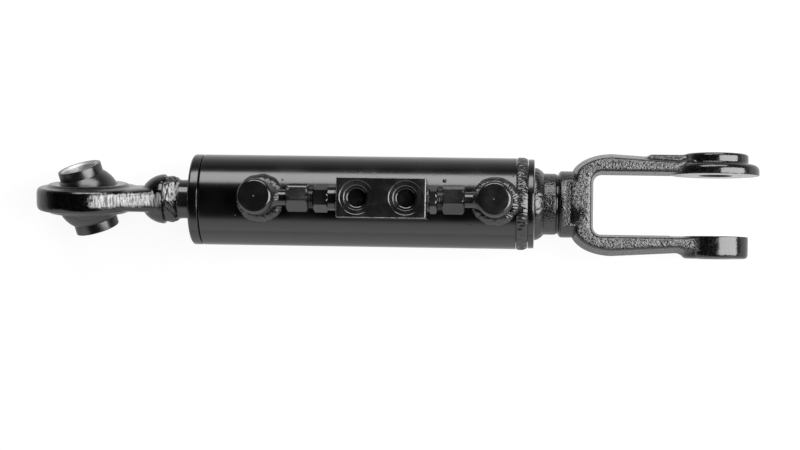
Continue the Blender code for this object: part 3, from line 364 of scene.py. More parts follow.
@dataclass(frozen=True)
class TrimmedForging(ForgedPaint):
    """A forging whose flash was sheared off round its rim, which leaves a pale band of upright tears.

    The band lies within half of the plane through centre across axis, outside hole, from start to end along X.
    """

    centre: Triple = (0.0, 0.0, 0.0)
    axis: Triple = Y_AXIS
    half: float = 0.0062
    lift: float = 0.0012
    hole: float = 0.028
    start: float = 0.0085
    end: float = 0.0608
    tear: float = 0.0010
    torn: Triple = (0.21, 0.21, 0.21)

    def cover(self, graph: Graph, where: Value) -> None:
        """Fills in the surface."""
        height, pale, added = self.skin(graph, where)
        offset = graph.vector("SUBTRACT", where, self.centre, output="Vector")
        away, across = graph.vector("LENGTH", offset), graph.vector("DOT_PRODUCT", offset, self.axis)
        along = graph.axis(offset, "X")
        ragged = graph.noise(where, 0.003, 3.0, 0.7)
        tears = graph.noise(graph.drawn_out(where, 0.10), self.tear, 3.0, 0.7)
        edge = (across - self.lift).maths("ABSOLUTE") + ragged * 0.005
        band = edge.between(self.half + 0.0022, self.half + 0.0004) * away.between(self.hole, self.hole + 0.002)
        ends = (along + ragged * 0.016).between(self.start + 0.006, self.start + 0.012)
        band = band * ends * along.between(self.end + 0.001, self.end - 0.002)
        bright = band * tears.between(0.32, 0.56)
        graph.surface(
            Base_Color=graph.ramp(
                pale * (1 - band) + bright, [(0.0, self.colour), (0.3, self.scale_colour), (1.0, self.torn)]
            ),
            Metallic=bright * 0.4,
            Roughness=added + self.roughness + band * 0.16,
            Normal=graph.bump(height * (1 - band) + tears * band * 3.0, self.depth),
            IOR=1.5,
        )


@dataclass(frozen=True)
class WeldPaint(Paint):
    """Black enamel over a bead: glassy in the ripples' valleys, with pits and grains of spatter.

    Between the two values of Y in scar, and above the height painted_highlight_above, pale bare-metal streaks paint a
    highlight.
    """

    colour: Triple = (0.003, 0.003, 0.0032)
    roughness: float = 0.07
    depth: float = 0.00022
    # scar and painted_highlight_above bound a painted highlight; bare is its pale colour.
    painted_highlight_span: tuple[float, float] = (0.0, 0.0)
    painted_highlight_above: float = 1.0
    bare: Triple = (0.30, 0.30, 0.30)

    def cover(self, graph: Graph, where: Value) -> None:
        """Fills in the surface."""
        grain = graph.noise(where, 0.0013, 3.0, 0.65)
        pits = graph.cells(where, 0.0009)
        bright = tuple(c * 3.0 for c in self.colour)
        # From y to scraped: pale streaks of painted highlight on the bead's upper side between the Ys in scar.
        y = graph.axis(where, "Y") + (graph.noise(where, 0.004, 2.0) * 0.006 - 0.003)
        low, high = self.painted_highlight_span
        inside = y.between(low - 0.001, low + 0.001) * y.between(high + 0.001, high - 0.001)
        above = graph.axis(where, "Z").between(self.painted_highlight_above, self.painted_highlight_above + 0.002)
        slanted = graph.drawn_out(where, 0.22, math.radians(35))
        painted_highlight_streaks = inside * above * graph.noise(slanted, 0.0016, 3.0, 0.65).between(0.38, 0.54)
        graph.surface(
            Base_Color=graph.ramp(
                grain.between(0.45, 0.75) * 0.2 * (1 - painted_highlight_streaks) + painted_highlight_streaks,
                [(0.0, self.colour), (0.2, bright), (1.0, self.bare)],
            ),
            Roughness=grain * 0.2 + self.roughness + painted_highlight_streaks * 0.15,
            Normal=graph.bump(grain * 0.7 + pits * 0.3, self.depth),
            IOR=1.5,
        )


@dataclass(frozen=True)
class TurnedSteel(Paint):
    """Bare metal with fine tool marks drawn out along Y and Z, as turning leaves them on what lies along X."""

    colour: Triple = (0.52, 0.53, 0.54)
    shade: Triple = (0.36, 0.36, 0.36)
    roughness: float = 0.22
    depth: float = 0.000006
    mark: float = 0.00035

    def cover(self, graph: Graph, where: Value) -> None:
        """Fills in the surface."""
        cloud = graph.noise(where, 0.006, 4.0)
        marks = graph.noise(graph.drawn_out(where, 0.08), self.mark, 2.0)
        graph.surface(
            Base_Color=graph.ramp(cloud.between(0.35, 0.7), [(0.0, self.colour), (1.0, self.shade)]),
            Metallic=1.0,
            Roughness=cloud * 0.12 + marks * 0.08 + self.roughness - 0.1,
            Normal=graph.bump(marks, self.depth),
        )


@dataclass(frozen=True)
class SprayedChrome(Paint):
    """Hard chrome with fine grinding marks round it, sprayed black as far as the closed gland left it open.

    spray_end is the X of the paint's edge.
    """

    spray_end: float
    chrome: Triple = (0.62, 0.63, 0.65)
    paint: Triple = (0.012, 0.012, 0.0125)
    roughness: float = 0.13

    def cover(self, graph: Graph, where: Value) -> None:
        """Fills in the surface."""
        ragged = graph.axis(where, "X") + graph.noise(where, 0.002, 3.0) * 0.001
        bare = ragged.between(self.spray_end, self.spray_end + 0.0009)
        marks = graph.noise(graph.drawn_out(where, 0.06), 0.0003, 2.0)
        graph.surface(
            Base_Color=graph.ramp(bare, [(0.0, self.paint), (1.0, self.chrome)]),
            Metallic=bare,
            Roughness=marks * 0.06 + self.roughness,
            Normal=graph.bump(marks, 0.0000006),
        )


@dataclass(frozen=True)
class WornBlockEdgeHighlight(GlossPaint):
    """The enamel of the valve block, with chips of bare metal here and there along the edges of its box.
    The chips are partly wear and partly a painted highlight of the edges.

    low and high are the box's corners. A spot is at an edge where it is within rim of two of its sides.
    """

    low: Triple = (0.0, 0.0, 0.0)
    high: Triple = (0.0, 0.0, 0.0)
    rim: float = 0.0005
    # bare is the chips' colour, which also paints the edges' highlights.
    bare: Triple = (0.60, 0.60, 0.60)

    def cover(self, graph: Graph, where: Value) -> None:
        """Fills in the surface."""
        near = []
        for letter, low, high in zip("XYZ", self.low, self.high):
            off = (graph.axis(where, letter) - (low + high) / 2).maths("ABSOLUTE")
            near.append(off.between((high - low) / 2 - self.rim, (high - low) / 2 - self.rim * 0.3))
        edge = (near[0] * near[1]).maths("MAXIMUM", near[1] * near[2]).maths("MAXIMUM", near[0] * near[2])
        # Chips along the edges: partly wear, partly a painted highlight of the edges.
        chips_and_painted_highlight = edge * graph.noise(where, 0.0035, 4.0, 0.7).between(0.34, 0.46)
        cloud = graph.noise(where, 0.012, 4.0).between(0.4, 0.7)
        fine = graph.noise(where, self.peel_size, 1.0)
        graph.surface(
            Base_Color=graph.ramp(
                cloud * 0.2 * (1 - chips_and_painted_highlight) + chips_and_painted_highlight, [(0.0, self.colour), (0.2, self.dusty), (1.0, self.bare)]
            ),
            Metallic=chips_and_painted_highlight * 0.4,
            Roughness=cloud * self.spread + chips_and_painted_highlight * 0.15 + self.roughness,
            Normal=graph.bump(fine, self.peel),
            IOR=1.5,
        )


@dataclass(frozen=True)
class SoftSolid(Paint):
    """A matt seal, strip or washer: rubber or resin with a moulded grain."""

    colour: Triple
    shade: Triple
    roughness: float = 0.55
    grain: float = 0.0004

    def cover(self, graph: Graph, where: Value) -> None:
        """Fills in the surface."""
        fine = graph.noise(where, self.grain, 3.0)
        cloud = graph.noise(where, 0.004, 3.0)
        graph.surface(
            Base_Color=graph.ramp(cloud.between(0.3, 0.7), [(0.0, self.colour), (1.0, self.shade)]),
            Roughness=fine * 0.2 + self.roughness,
            Normal=graph.bump(fine, 0.00002),
        )


class Finish(Enum):
    """The finishes of the link, each as the record's material slot and what the finish is on."""

    BARREL = ("black_paint", "barrel")
    FITTING = ("black_paint", "fittings")
    BLOCK = ("black_paint", "valve block")
    BALL = ("black_paint", "swivel ball")
    BORE = ("black_paint", "swivel ball's bore")
    FORGED = ("forged_paint", "fork")
    EYE = ("forged_paint", "eye")
    WELD = ("weld_paint", "beads")
    ROD_WELD = ("weld_paint", "rod's bead")
    CHROME = ("chrome_rod", "rod")
    STEEL = ("bright_steel", "inner steel")
    WASHER = ("bright_steel", "seal washers")
    RUBBER = ("seal_rubber", "seals")
    RESIN = ("guide_resin", "guide rings")

    @property
    def slot(self) -> str:
        """The record's material slot."""
        return self.value[0]


def build_finishes(
    gland_face: float, ball: Triple, eye_axis: Triple,
    block: tuple[np.ndarray, np.ndarray],
) -> dict[Finish, Any]:
    """Makes every material once.

    Args:
        gland_face: the X of the gland's outer face, where the rod's paint ends.
        ball: the ball's centre.
        eye_axis: the axis of the eye's bore.
        block: the corners of the valve block's box.

    Returns:
        The material of each finish.
    """
    made = {
        Finish.BLOCK: WornBlockEdgeHighlight(
            "block_enamel", colour=(0.004, 0.004, 0.0041), dusty=(0.010, 0.010, 0.0104), roughness=0.13, spread=0.08,
            peel=0.00003, peel_size=0.0014, low=tuple(block[0].tolist()), high=tuple(block[1].tolist()),
        ),
        Finish.BARREL: GlossPaint("barrel_enamel", roughness=0.19, spread=0.05),
        Finish.FITTING: GlossPaint(
            "fitting_enamel", colour=(0.003, 0.003, 0.0031), dusty=(0.010, 0.010, 0.0103), roughness=0.14, peel=0.00003,
            peel_size=0.0012,
        ),
        Finish.FORGED: ForgedPaint(
            "forging_enamel", calm_from=0.2300, calm_to=0.2345, middle=ball[2], dull_height=0.01885, dull_from=0.1285,
            smooth=(0.1247, 0.1284),
        ),
        Finish.EYE: TrimmedForging(
            "eye_enamel", colour=(0.0006, 0.0006, 0.0007), scale_colour=(0.002, 0.002, 0.0022), roughness=0.06,
            depth=0.0002, centre=ball, axis=eye_axis,
        ),
        Finish.WELD: WeldPaint("bead_enamel"),
        # The rod's bead carries a painted highlight: pale streaks on its upper side.
        Finish.ROD_WELD: WeldPaint(
            "rod_bead_enamel", colour=(0.004, 0.004, 0.0042), depth=0.0004, painted_highlight_span=(-0.002, 0.0125),
            painted_highlight_above=ball[2] + 0.006,
        ),
        Finish.BALL: GlossPaint(
            "ball_enamel", colour=(0.002, 0.002, 0.0021), dusty=(0.010, 0.010, 0.0105), roughness=0.22, spread=0.14
        ),
        Finish.BORE: TurnedSteel(
            "bore_steel", colour=(0.56, 0.56, 0.56), shade=(0.42, 0.42, 0.415), roughness=0.6, depth=0.00001
        ),
        Finish.CHROME: SprayedChrome("rod_chrome", gland_face - 0.0007),
        Finish.WASHER: GlossPaint(
            "washer_enamel", colour=(0.012, 0.012, 0.0125), dusty=(0.03, 0.03, 0.03), roughness=0.2
        ),
        Finish.STEEL: TurnedSteel("bare_steel"),
        Finish.RUBBER: SoftSolid("seal_rubber", (0.022, 0.022, 0.024), (0.04, 0.04, 0.042)),
        Finish.RESIN: SoftSolid("guide_resin", (0.36, 0.22, 0.10), (0.28, 0.16, 0.07), 0.45, 0.0006),
    }
    return {finish: paint.build() for finish, paint in made.items()}


# ---- Surfaces


@dataclass
class Shell:
    """A surface over two parameters: points[i, j], and whether each parameter runs round."""

    points: np.ndarray
    wrap: tuple[bool, bool] = (False, True)

    def faces(self, first: int) -> np.ndarray:
        """The faces of the grid.

        Args:
            first: the number of its first point.

        Returns:
            The numbers of the four corners of each cell.
        """
        rows, columns = self.points.shape[:2]
        i = np.arange(rows if self.wrap[0] else rows - 1)
        j = np.arange(columns if self.wrap[1] else columns - 1)
        i, j = np.meshgrid(i, j, indexing="ij")
        below, beside = (i + 1) % rows, (j + 1) % columns
        corners = np.stack([i * columns + j, i * columns + beside, below * columns + beside, below * columns + j], -1)
        return corners.reshape(-1, 4) + first


def basis(axis: Sequence[float], hint: Sequence[float]) -> np.ndarray:
    """A right-handed frame: w is the axis, and u the hint less its share along w.

    Args:
        axis: the direction of w.
        hint: a direction near u.

    Returns:
        The rows u, v and w.
    """
    w = np.asarray(axis, float) / np.linalg.norm(axis)
    u = np.asarray(hint, float) - np.dot(hint, w) * w
    u /= np.linalg.norm(u)
    return np.stack([u, np.cross(w, u), w])


def rounded(corners: Sequence[Triple], steps: int = 4, closed: bool = False) -> np.ndarray:
    """A profile whose corners are rounded.

    At a corner with rounding e the line leaves a distance e before it and joins e after it, along the curve
    (1-t)^2 A + 2t(1-t) C + t^2 B.

    Args:
        corners: (height, radius, rounding) of each corner.
        steps: points along each rounding.
        closed: whether the last corner joins the first.

    Returns:
        (height, radius) rows.
    """
    marks = np.array([corner[:2] for corner in corners], float)
    t = np.linspace(0.0, 1.0, steps + 1)[:, None]
    rows = []
    for i, (height, radius, e) in enumerate(corners):
        if e <= 0 or (not closed and i in (0, len(corners) - 1)):
            rows.append(np.array([[height, radius]]))
            continue
        before, after = marks[i - 1] - marks[i], marks[(i + 1) % len(marks)] - marks[i]
        a = marks[i] + before / np.linalg.norm(before) * min(e, np.linalg.norm(before) / 2)
        b = marks[i] + after / np.linalg.norm(after) * min(e, np.linalg.norm(after) / 2)
        rows.append((1 - t) ** 2 * a + 2 * t * (1 - t) * marks[i] + t**2 * b)
    return np.concatenate(rows)


def around(count: int) -> np.ndarray:
    """The angles of a full turn, as one row."""
    return np.linspace(0.0, 2 * math.pi, count, endpoint=False)[None, :]


def shares(count: int) -> np.ndarray:
    """Even shares from 0 to 1, as one column."""
    return np.linspace(0.0, 1.0, count)[:, None]


def about_x(x: np.ndarray, radius: np.ndarray, angle: np.ndarray, height: float) -> np.ndarray:
    """Points (x, r sin a, height + r cos a), round a line along X."""
    return np.stack(np.broadcast_arrays(x, radius * np.sin(angle), height + radius * np.cos(angle)), -1)


def about_z(x: float, radius: np.ndarray, angle: np.ndarray, z: np.ndarray) -> np.ndarray:
    """Points (x + r cos a, r sin a, z), round an upright line."""
    return np.stack(np.broadcast_arrays(x + radius * np.cos(angle), radius * np.sin(angle), z), -1)


def sleeve(low: float, high: float, outer: np.ndarray, inner: float, height: float) -> Shell:
    """A ring along X.

    Args:
        low: its lowest x.
        high: its highest x.
        outer: its radius, in rows from low to high and columns round it.
        inner: the radius of its bore.
        height: the height of its axis.

    Returns:
        The surface.
    """
    a, s = around(outer.shape[1]), shares(len(outer))
    bore = np.full_like(a, inner)
    x = low + (high - low) * np.concatenate([s[:1], s, s[-1:]])
    return Shell(about_x(x, np.concatenate([bore, outer, bore]), a, height), (True, True))


def spun(centre: Sequence[float], axes: np.ndarray, h: np.ndarray, r: np.ndarray, a: np.ndarray) -> np.ndarray:
    """Points centre + h w + r (cos a u + sin a v).

    Args:
        centre: where height is zero.
        axes: the rows u, v and w.
        h: heights, as a column.
        r: radii, as a column or for each point.
        a: angles, as a row.

    Returns:
        The points.
    """
    u, v, w = axes
    h, r, a = h[..., None], r[..., None], a[..., None]
    return np.asarray(centre, float) + h * w + r * (np.cos(a) * u + np.sin(a) * v)


def turned(
    profile: np.ndarray, centre: Sequence[float], axis: Sequence[float], hint: Sequence[float], sides: int = 128,
    closed: bool = False,
) -> Shell:
    """A surface of revolution.

    Args:
        profile: (height, radius) rows; they start and end on the axis unless closed.
        centre: where height is zero.
        axis: the axis.
        hint: the direction of angle zero.
        sides: steps round it.
        closed: whether the profile is a loop clear of the axis.

    Returns:
        The surface.
    """
    points = spun(centre, basis(axis, hint), profile[:, :1], profile[:, 1:], around(sides))
    return Shell(points, (closed, True))


def hexed(
    profile: np.ndarray, flats: np.ndarray, across: float, corner_at: float, centre: Sequence[float],
    axis: Sequence[float],
) -> Shell:
    """A turned blank with six flats.

    Where flats is 1 the radius is the smaller of the blank's and of the hexagon's, across / 2 / cos(b), with b
    the angle from the middle of the nearest flat. The blank's end chamfers then leave arcs on the flats.

    Args:
        profile: (height, radius) rows of the blank, a loop clear of the axis.
        flats: 1 for the rows that the flats cut, else 0.
        across: the size across flats.
        corner_at: the angle of one corner from +Z, in radians.
        centre: where height is zero.
        axis: the axis.

    Returns:
        The surface.
    """
    a = around(144)
    b = (a - corner_at) % (math.pi / 3) - math.pi / 6
    limit = across / 2 / np.cos(b) - 0.00012 * np.clip((np.abs(b) / (math.pi / 6)) ** 24, 0, 1)
    r = np.where(flats[:, None] > 0, np.minimum(profile[:, 1:], limit), profile[:, 1:] + 0 * a)
    return Shell(spun(centre, basis(axis, Z_AXIS), profile[:, :1], r, a), (True, True))


def rounded_box(centre: Sequence[float], half: Sequence[float], edge: float, steps: int = 4) -> Shell:
    """A box with round edges: a sphere's grid of normals n, split at the axes, gives sign(n)(half - edge) + edge n.

    Args:
        centre: its centre.
        half: half its size along X, Y and Z.
        edge: the edges' radius.
        steps: steps along each quarter of an edge.

    Returns:
        The surface, closed by a point in the middle of its top and its bottom.
    """
    quarter = np.linspace(0.0, math.pi / 2, steps + 1)
    around = np.concatenate([quarter + k * math.pi / 2 for k in range(4)])
    sign_x = np.repeat([1, -1, -1, 1], steps + 1)
    sign_y = np.repeat([1, 1, -1, -1], steps + 1)
    up = np.concatenate([quarter - math.pi / 2, quarter])
    sign_z = np.repeat([-1, 1], steps + 1)
    inner = np.asarray(half, float) - edge
    n = np.stack(
        np.broadcast_arrays(
            np.cos(up)[:, None] * np.cos(around), np.cos(up)[:, None] * np.sin(around), np.sin(up)[:, None]
        ), -1,
    )
    signs = np.stack(np.broadcast_arrays(sign_x[None, :], sign_y[None, :], sign_z[:, None]), -1)
    points = signs * inner + edge * n
    ends = np.zeros((1, *points.shape[1:]))
    low, high = ends.copy(), ends.copy()
    low[..., 2], high[..., 2] = -half[2], half[2]
    return Shell(np.concatenate([low, points, high]) + np.asarray(centre, float))


def ripples(phase: np.ndarray) -> np.ndarray:
    """Round crests with sharp valleys between them: |sin(phase)| less its mean."""
    return np.abs(np.sin(phase)) - 2 / math.pi


def uneven(seed: int, angle: np.ndarray, terms: int = 7) -> np.ndarray:
    """A smooth closed wobble round a bead: sines of whole numbers of turns.

    Args:
        seed: the random seed.
        angle: the angle round the bead.
        terms: the number of sines.

    Returns:
        The wobble at each angle, between about -1 and 1.
    """
    draw = np.random.default_rng(seed)
    order = np.arange(2, 2 + terms)
    phase, weight = draw.uniform(0, 2 * math.pi, terms), draw.uniform(0.4, 1.0, terms)
    waves = np.sin(angle[..., None] * order + phase) * weight
    return waves.sum(-1) / weight.sum() * 1.8


def lumps(seed: int, angle: np.ndarray, share: np.ndarray, least: int = 16, most: int = 44) -> np.ndarray:
    """Uneven metal over a bead, between about -1 and 1.

    It is a sum of sin(n a + p + q s), with whole numbers n, random phases p and random slants q.

    Args:
        seed: the random seed.
        angle: the angle round the bead.
        share: the share across it.
        least: the fewest waves in a turn.
        most: the most waves in a turn.

    Returns:
        The height at each point.
    """
    draw = np.random.default_rng(seed)
    order = draw.integers(least, most, 12)
    phase, slant = draw.uniform(0, 2 * math.pi, 12), draw.uniform(-9.0, 9.0, 12)
    return np.sin(angle[..., None] * order + phase + share[..., None] * slant).sum(-1) / 4.2


def placed(name: str, data: Any, collection: Any = None) -> Any:
    """Makes an object.

    Args:
        name: its name.
        data: its mesh, lamp or camera.
        collection: where it goes, or None for the scene's own.

    Returns:
        The object.
    """
    obj = bpy.data.objects.new(name, data)
    (collection or bpy.context.scene.collection).objects.link(obj)
    return obj


class Workshop:
    def __init__(self, finishes: dict[Finish, Any]) -> None:
        """Keeps the finishes and opens the collection of the pieces."""
        self.finishes = finishes
        self.collection = bpy.data.collections.new("dressed_top_link")
        bpy.context.scene.collection.children.link(self.collection)

    def cast(self, name: str, points: np.ndarray, faces: Any) -> Any:
        """Makes an object of points and faces.

        Args:
            name: the object's name.
            points: its corners.
            faces: the numbers of each face's corners.

        Returns:
            The object, with poles merged, large faces split and all of them pointing out.
        """
        mesh = bpy.data.meshes.new(name)
        mesh.from_pydata(points, [], faces)
        shape = bmesh.new()
        shape.from_mesh(mesh)
        bmesh.ops.remove_doubles(shape, verts=shape.verts, dist=MERGE_WITHIN)
        bmesh.ops.triangulate(shape, faces=[face for face in shape.faces if len(face.verts) > 4])
        bmesh.ops.recalc_face_normals(shape, faces=shape.faces)
        shape.to_mesh(mesh)
        shape.free()
        return placed(name, mesh, self.collection)

    def mesh(self, name: str, shells: Sequence[Shell]) -> Any:
        """Puts shells into one mesh object.

        Args:
            name: the object's name.
            shells: closed surfaces.

        Returns:
            The object.
        """
        points, faces, count = [], [], 0
        for shell in shells:
            faces.append(shell.faces(count))
            points.append(shell.points.reshape(-1, 3))
            count += len(points[-1])
        return self.cast(name, np.concatenate(points), np.concatenate(faces))

    def apply(self, obj: Any) -> None:
        """Makes an object's modifiers part of its mesh.

        Args:
            obj: the object.
        """
        graph = bpy.context.evaluated_depsgraph_get()
        done = bpy.data.meshes.new_from_object(obj.evaluated_get(graph))
        old = obj.data
        obj.modifiers.clear()
        obj.data = done
        bpy.data.meshes.remove(old)

    def machine(self, obj: Any, cutters: Sequence[Any], operation: str = "DIFFERENCE") -> None:
        """Cuts or joins shapes exactly, then removes them.

        Args:
            obj: the piece.
            cutters: the shapes.
            operation: DIFFERENCE or UNION.
        """
        for cutter in cutters:
            step = obj.modifiers.new(operation.lower(), "BOOLEAN")
            step.operation = operation
            step.object = cutter
        self.apply(obj)
        for cutter in cutters:
            bpy.data.objects.remove(cutter)

    def soften(self, obj: Any, cell: float, passes: int) -> None:
        """Gives joined shapes one skin with soft inner corners, as a die leaves them.

        Args:
            obj: the piece.
            cell: the size of the new skin's faces.
            passes: how often each point moves half way to the middle of its neighbours.
        """
        skin = obj.modifiers.new("skin", "REMESH")
        skin.mode = "VOXEL"
        skin.voxel_size = cell
        relax = obj.modifiers.new("relax", "SMOOTH")
        relax.factor = 0.5
        relax.iterations = passes
        self.apply(obj)

    def dress(self, obj: Any, finish: Finish, body: str, *nodes: str, bore: RowsToRows | None = None) -> Any:
        """Gives a piece its finish, its shading, its body and the nodes it stands for.

        Args:
            obj: the piece.
            finish: its finish.
            body: the body it rides on.
            nodes: the CAD nodes it replaces.
            bore: a function of face centres that tells which faces are bare steel.

        Returns:
            The object.
        """
        obj.data.materials.clear()
        obj.data.materials.append(self.finishes[finish])
        obj.data.shade_smooth()
        obj.data.set_sharp_from_angle(angle=SMOOTH_BELOW)
        if bore is not None:
            obj.data.materials.append(self.finishes[Finish.BORE])
            centres = np.empty(len(obj.data.polygons) * 3)
            obj.data.polygons.foreach_get("center", centres)
            obj.data.polygons.foreach_set("material_index", bore(centres.reshape(-1, 3)).astype(np.int32))
            obj.data.update()
        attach(obj, body)
        if nodes:
            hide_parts(*nodes)
        log.info("%s: %d faces on %s", obj.name, len(obj.data.polygons), body)
        return obj

    def piece(self, name: str, shells: Sequence[Shell], finish: Finish, body: str, *nodes: str) -> Any:
        """Makes and dresses a piece in one go."""
        return self.dress(self.mesh(name, shells), finish, body, *nodes)


def span(node: str) -> tuple[np.ndarray, np.ndarray]:
    """The lowest and highest corner of a CAD node, as arrays."""
    low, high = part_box(node)
    return np.array(low), np.array(high)


# ---- The cylinder


@dataclass
class Cylinder:
    """The barrel tube, its gland and wiper, its end cap and the beads at the closed end."""

    shop: Workshop
    axis_height: float
    tube_radius: float = 35.0 * MM
    bore_radius: float = 30.0 * MM
    rod_radius: float = 15.0 * MM
    gland_edge: float = 1.5 * MM
    tube_chamfer: float = 0.7 * MM
    cap_radius: float = 34.25 * MM
    bead_rise: float = 0.9 * MM
    neck_radius: float = 23.5 * MM
    neck_leg: float = 4.5 * MM
    wiper_depth: float = 5.0 * MM
    wiper_width: float = 4.0 * MM
    grains: tuple[Triple, ...] = (
        (40.2 * MM, 25.4, 1.35 * MM), (-83.0 * MM, 24.0, 0.7 * MM), (60.5 * MM, -31.0, 0.6 * MM),
        (92.0 * MM, 34.0, 0.7 * MM), (-118.5 * MM, -22.0, 0.55 * MM), (88.5 * MM, -12.0, 0.5 * MM),
    )

    @property
    def centre(self) -> Triple:
        """The point of the cylinder's axis at x = 0."""
        return (0.0, 0.0, self.axis_height)

    def lathe(self, corners: Sequence[Triple], closed: bool = True) -> Shell:
        """Turns a profile of (x, radius, rounding) corners about the cylinder's axis."""
        return turned(rounded(corners, 4, closed), self.centre, X_AXIS, Z_AXIS, 192, closed)

    def build(self) -> None:
        """Makes all its pieces."""
        self.build_tube()
        self.build_gland()
        self.build_closed_end()
        self.build_spatter()

    def build_spatter(self) -> None:
        """Grains of weld spatter under the paint.

        Each grain, of (x, angle from the top in degrees, radius), is a dome r sqrt(1 - t^2) high with a skirt.
        """
        shells = []
        for x, angle, radius in self.grains:
            a = math.radians(angle)
            out = np.array([0.0, math.sin(a), math.cos(a)])
            t = np.linspace(0.0, math.pi / 2, 9)
            dome = np.stack([radius * (0.25 + 0.85 * np.cos(t)), radius * np.sin(t)], 1)
            skirt = np.array([[0.1 * radius, 1.12 * radius], [-0.2 * radius, 1.3 * radius], [-0.2 * radius, 0.0]])
            centre = np.array([x, 0.0, self.axis_height]) + out * self.tube_radius
            shells.append(turned(np.concatenate([dome, skirt]), centre, out, X_AXIS, 24))
        self.shop.piece("spatter", shells, Finish.BARREL, "barrel")

    def build_tube(self) -> None:
        """The tube, with a small chamfer at each end."""
        low, high = span("barrel_tube")
        outer, inner, cut = self.tube_radius, self.bore_radius, self.tube_chamfer
        corners = [
            (low[0], inner, 0), (low[0], outer - cut, 0.2 * MM), (low[0] + cut, outer, 0.3 * MM),
            (high[0], outer, 0), (high[0], inner, 0),
        ]
        self.shop.piece("barrel", [self.lathe(corners)], Finish.BARREL, "barrel", "barrel_tube")

    def build_gland(self) -> None:
        """The gland's flange with round edges, its plug, and the wiper that lips the rod."""
        low, high = span("gland")
        tube = span("barrel_tube")[0][0]
        rod, outer, edge = self.rod_radius, self.tube_radius, self.gland_edge
        seat = rod + self.wiper_width
        corners = [
            (low[0] + self.wiper_depth, rod + FIT, 0), (low[0] + self.wiper_depth, seat, 0), (low[0], seat, 0.5 * MM),
            (low[0], outer - 4.0 * MM, 0), (low[0], outer - edge, edge), (low[0] + edge, outer, edge / 2),
            (tube - 0.9 * MM, outer, 0.5 * MM), (tube - FIT, outer - 0.9 * MM, 0.2 * MM),
            (tube - FIT, self.bore_radius - FIT, 0), (high[0], self.bore_radius - FIT, 0.6 * MM),
            (high[0], rod + FIT, 0),
        ]
        self.shop.piece("gland_head", [self.lathe(corners)], Finish.BARREL, "barrel", "gland")
        low, high = span("wiper_seal")
        lip = rod + 0.2 * MM
        corners = [
            (high[0], lip + 1.2 * MM, 0.2 * MM), (high[0], seat - FIT, 0.2 * MM),
            (low[0] + 1.2 * MM, seat - FIT, 0.4 * MM), (low[0], lip + 1.4 * MM, 0.3 * MM),
            (low[0], lip, 0.2 * MM), (low[0] + 2.4 * MM, lip + 0.1 * MM, 0.2 * MM),
        ]
        self.shop.piece("wiper", [self.lathe(corners)], Finish.RUBBER, "barrel", "wiper_seal")

    def build_closed_end(self) -> None:
        """The end cap, the bead between it and the tube, and the fillet bead round the fork's neck."""
        low, high = span("end_cap")
        weld_low, weld_high = span("end_weld")
        face, disc = high[0], weld_high[0] + 0.3 * MM
        radius, spigot = self.cap_radius, self.bore_radius - FIT
        corners = [
            (low[0], 0, 0), (low[0], spigot, 1.0 * MM), (disc, spigot, 0), (disc, radius, 0.6 * MM),
            (face, radius, 1.3 * MM), (face, 0, 0),
        ]
        self.shop.piece("end_disc", [self.lathe(corners, closed=False)], Finish.BARREL, "barrel", "end_cap")
        self.bead("end_bead", "end_weld", weld_low[0], weld_high[0], self.bore_radius, self.crown, 38, 0.42 * MM)
        weld_low, weld_high = span("neck_weld")
        self.bead(
            "neck_bead", "neck_weld", weld_low[0], weld_high[0], self.neck_radius - self.neck_leg, self.fillet, 30,
            0.14 * MM,
        )

    def crown(self, share: np.ndarray) -> np.ndarray:
        """Radius of the butt bead from its left toe, share 0, to its right toe, share 1."""
        toe = self.tube_radius - 0.5 * MM
        return toe + (self.bead_rise + 0.3 * MM) * np.sin(math.pi * share) ** 0.7 - 0.5 * MM * share

    def fillet(self, share: np.ndarray) -> np.ndarray:
        """Radius of the neck's bead, from the end cap at share 0 to the neck at share 1."""
        return self.neck_radius + self.neck_leg * (1 - share**1.6) * 0.98 + 0.2 * MM * np.sin(math.pi * share)

    def bead(
        self, name: str, node: str, start: float, end: float, inner: float, section: RowsToRows, count: int,
        height: float,
    ) -> None:
        """A rippled bead round the axis.

        The radius is section(s) plus height times a bulge in s, times ripples and lumps. The ripples' phase grows with
        (2s - 1)^2, so each is a crescent.

        Args:
            name: the piece.
            node: the CAD node it replaces.
            start: its lowest x.
            end: its highest x.
            inner: its inner radius.
            section: radius as a function of the share along x.
            count: half the ripples round it.
            height: the ripples' height.
        """
        a, s = around(960), shares(21)
        wave = ripples(count * a + 1.4 * (2 * s - 1) ** 2 + 0.8 * uneven(count, a))
        bulge = np.sin(math.pi * np.clip(s, 0.02, 0.98)) ** 0.5
        outer = section(s) + height * bulge * (0.55 * wave + 0.75 * lumps(count, a, s))
        self.shop.piece(name, [sleeve(start, end, outer, inner, self.axis_height)], Finish.WELD, "barrel", node)


# ---- The rod and its eye


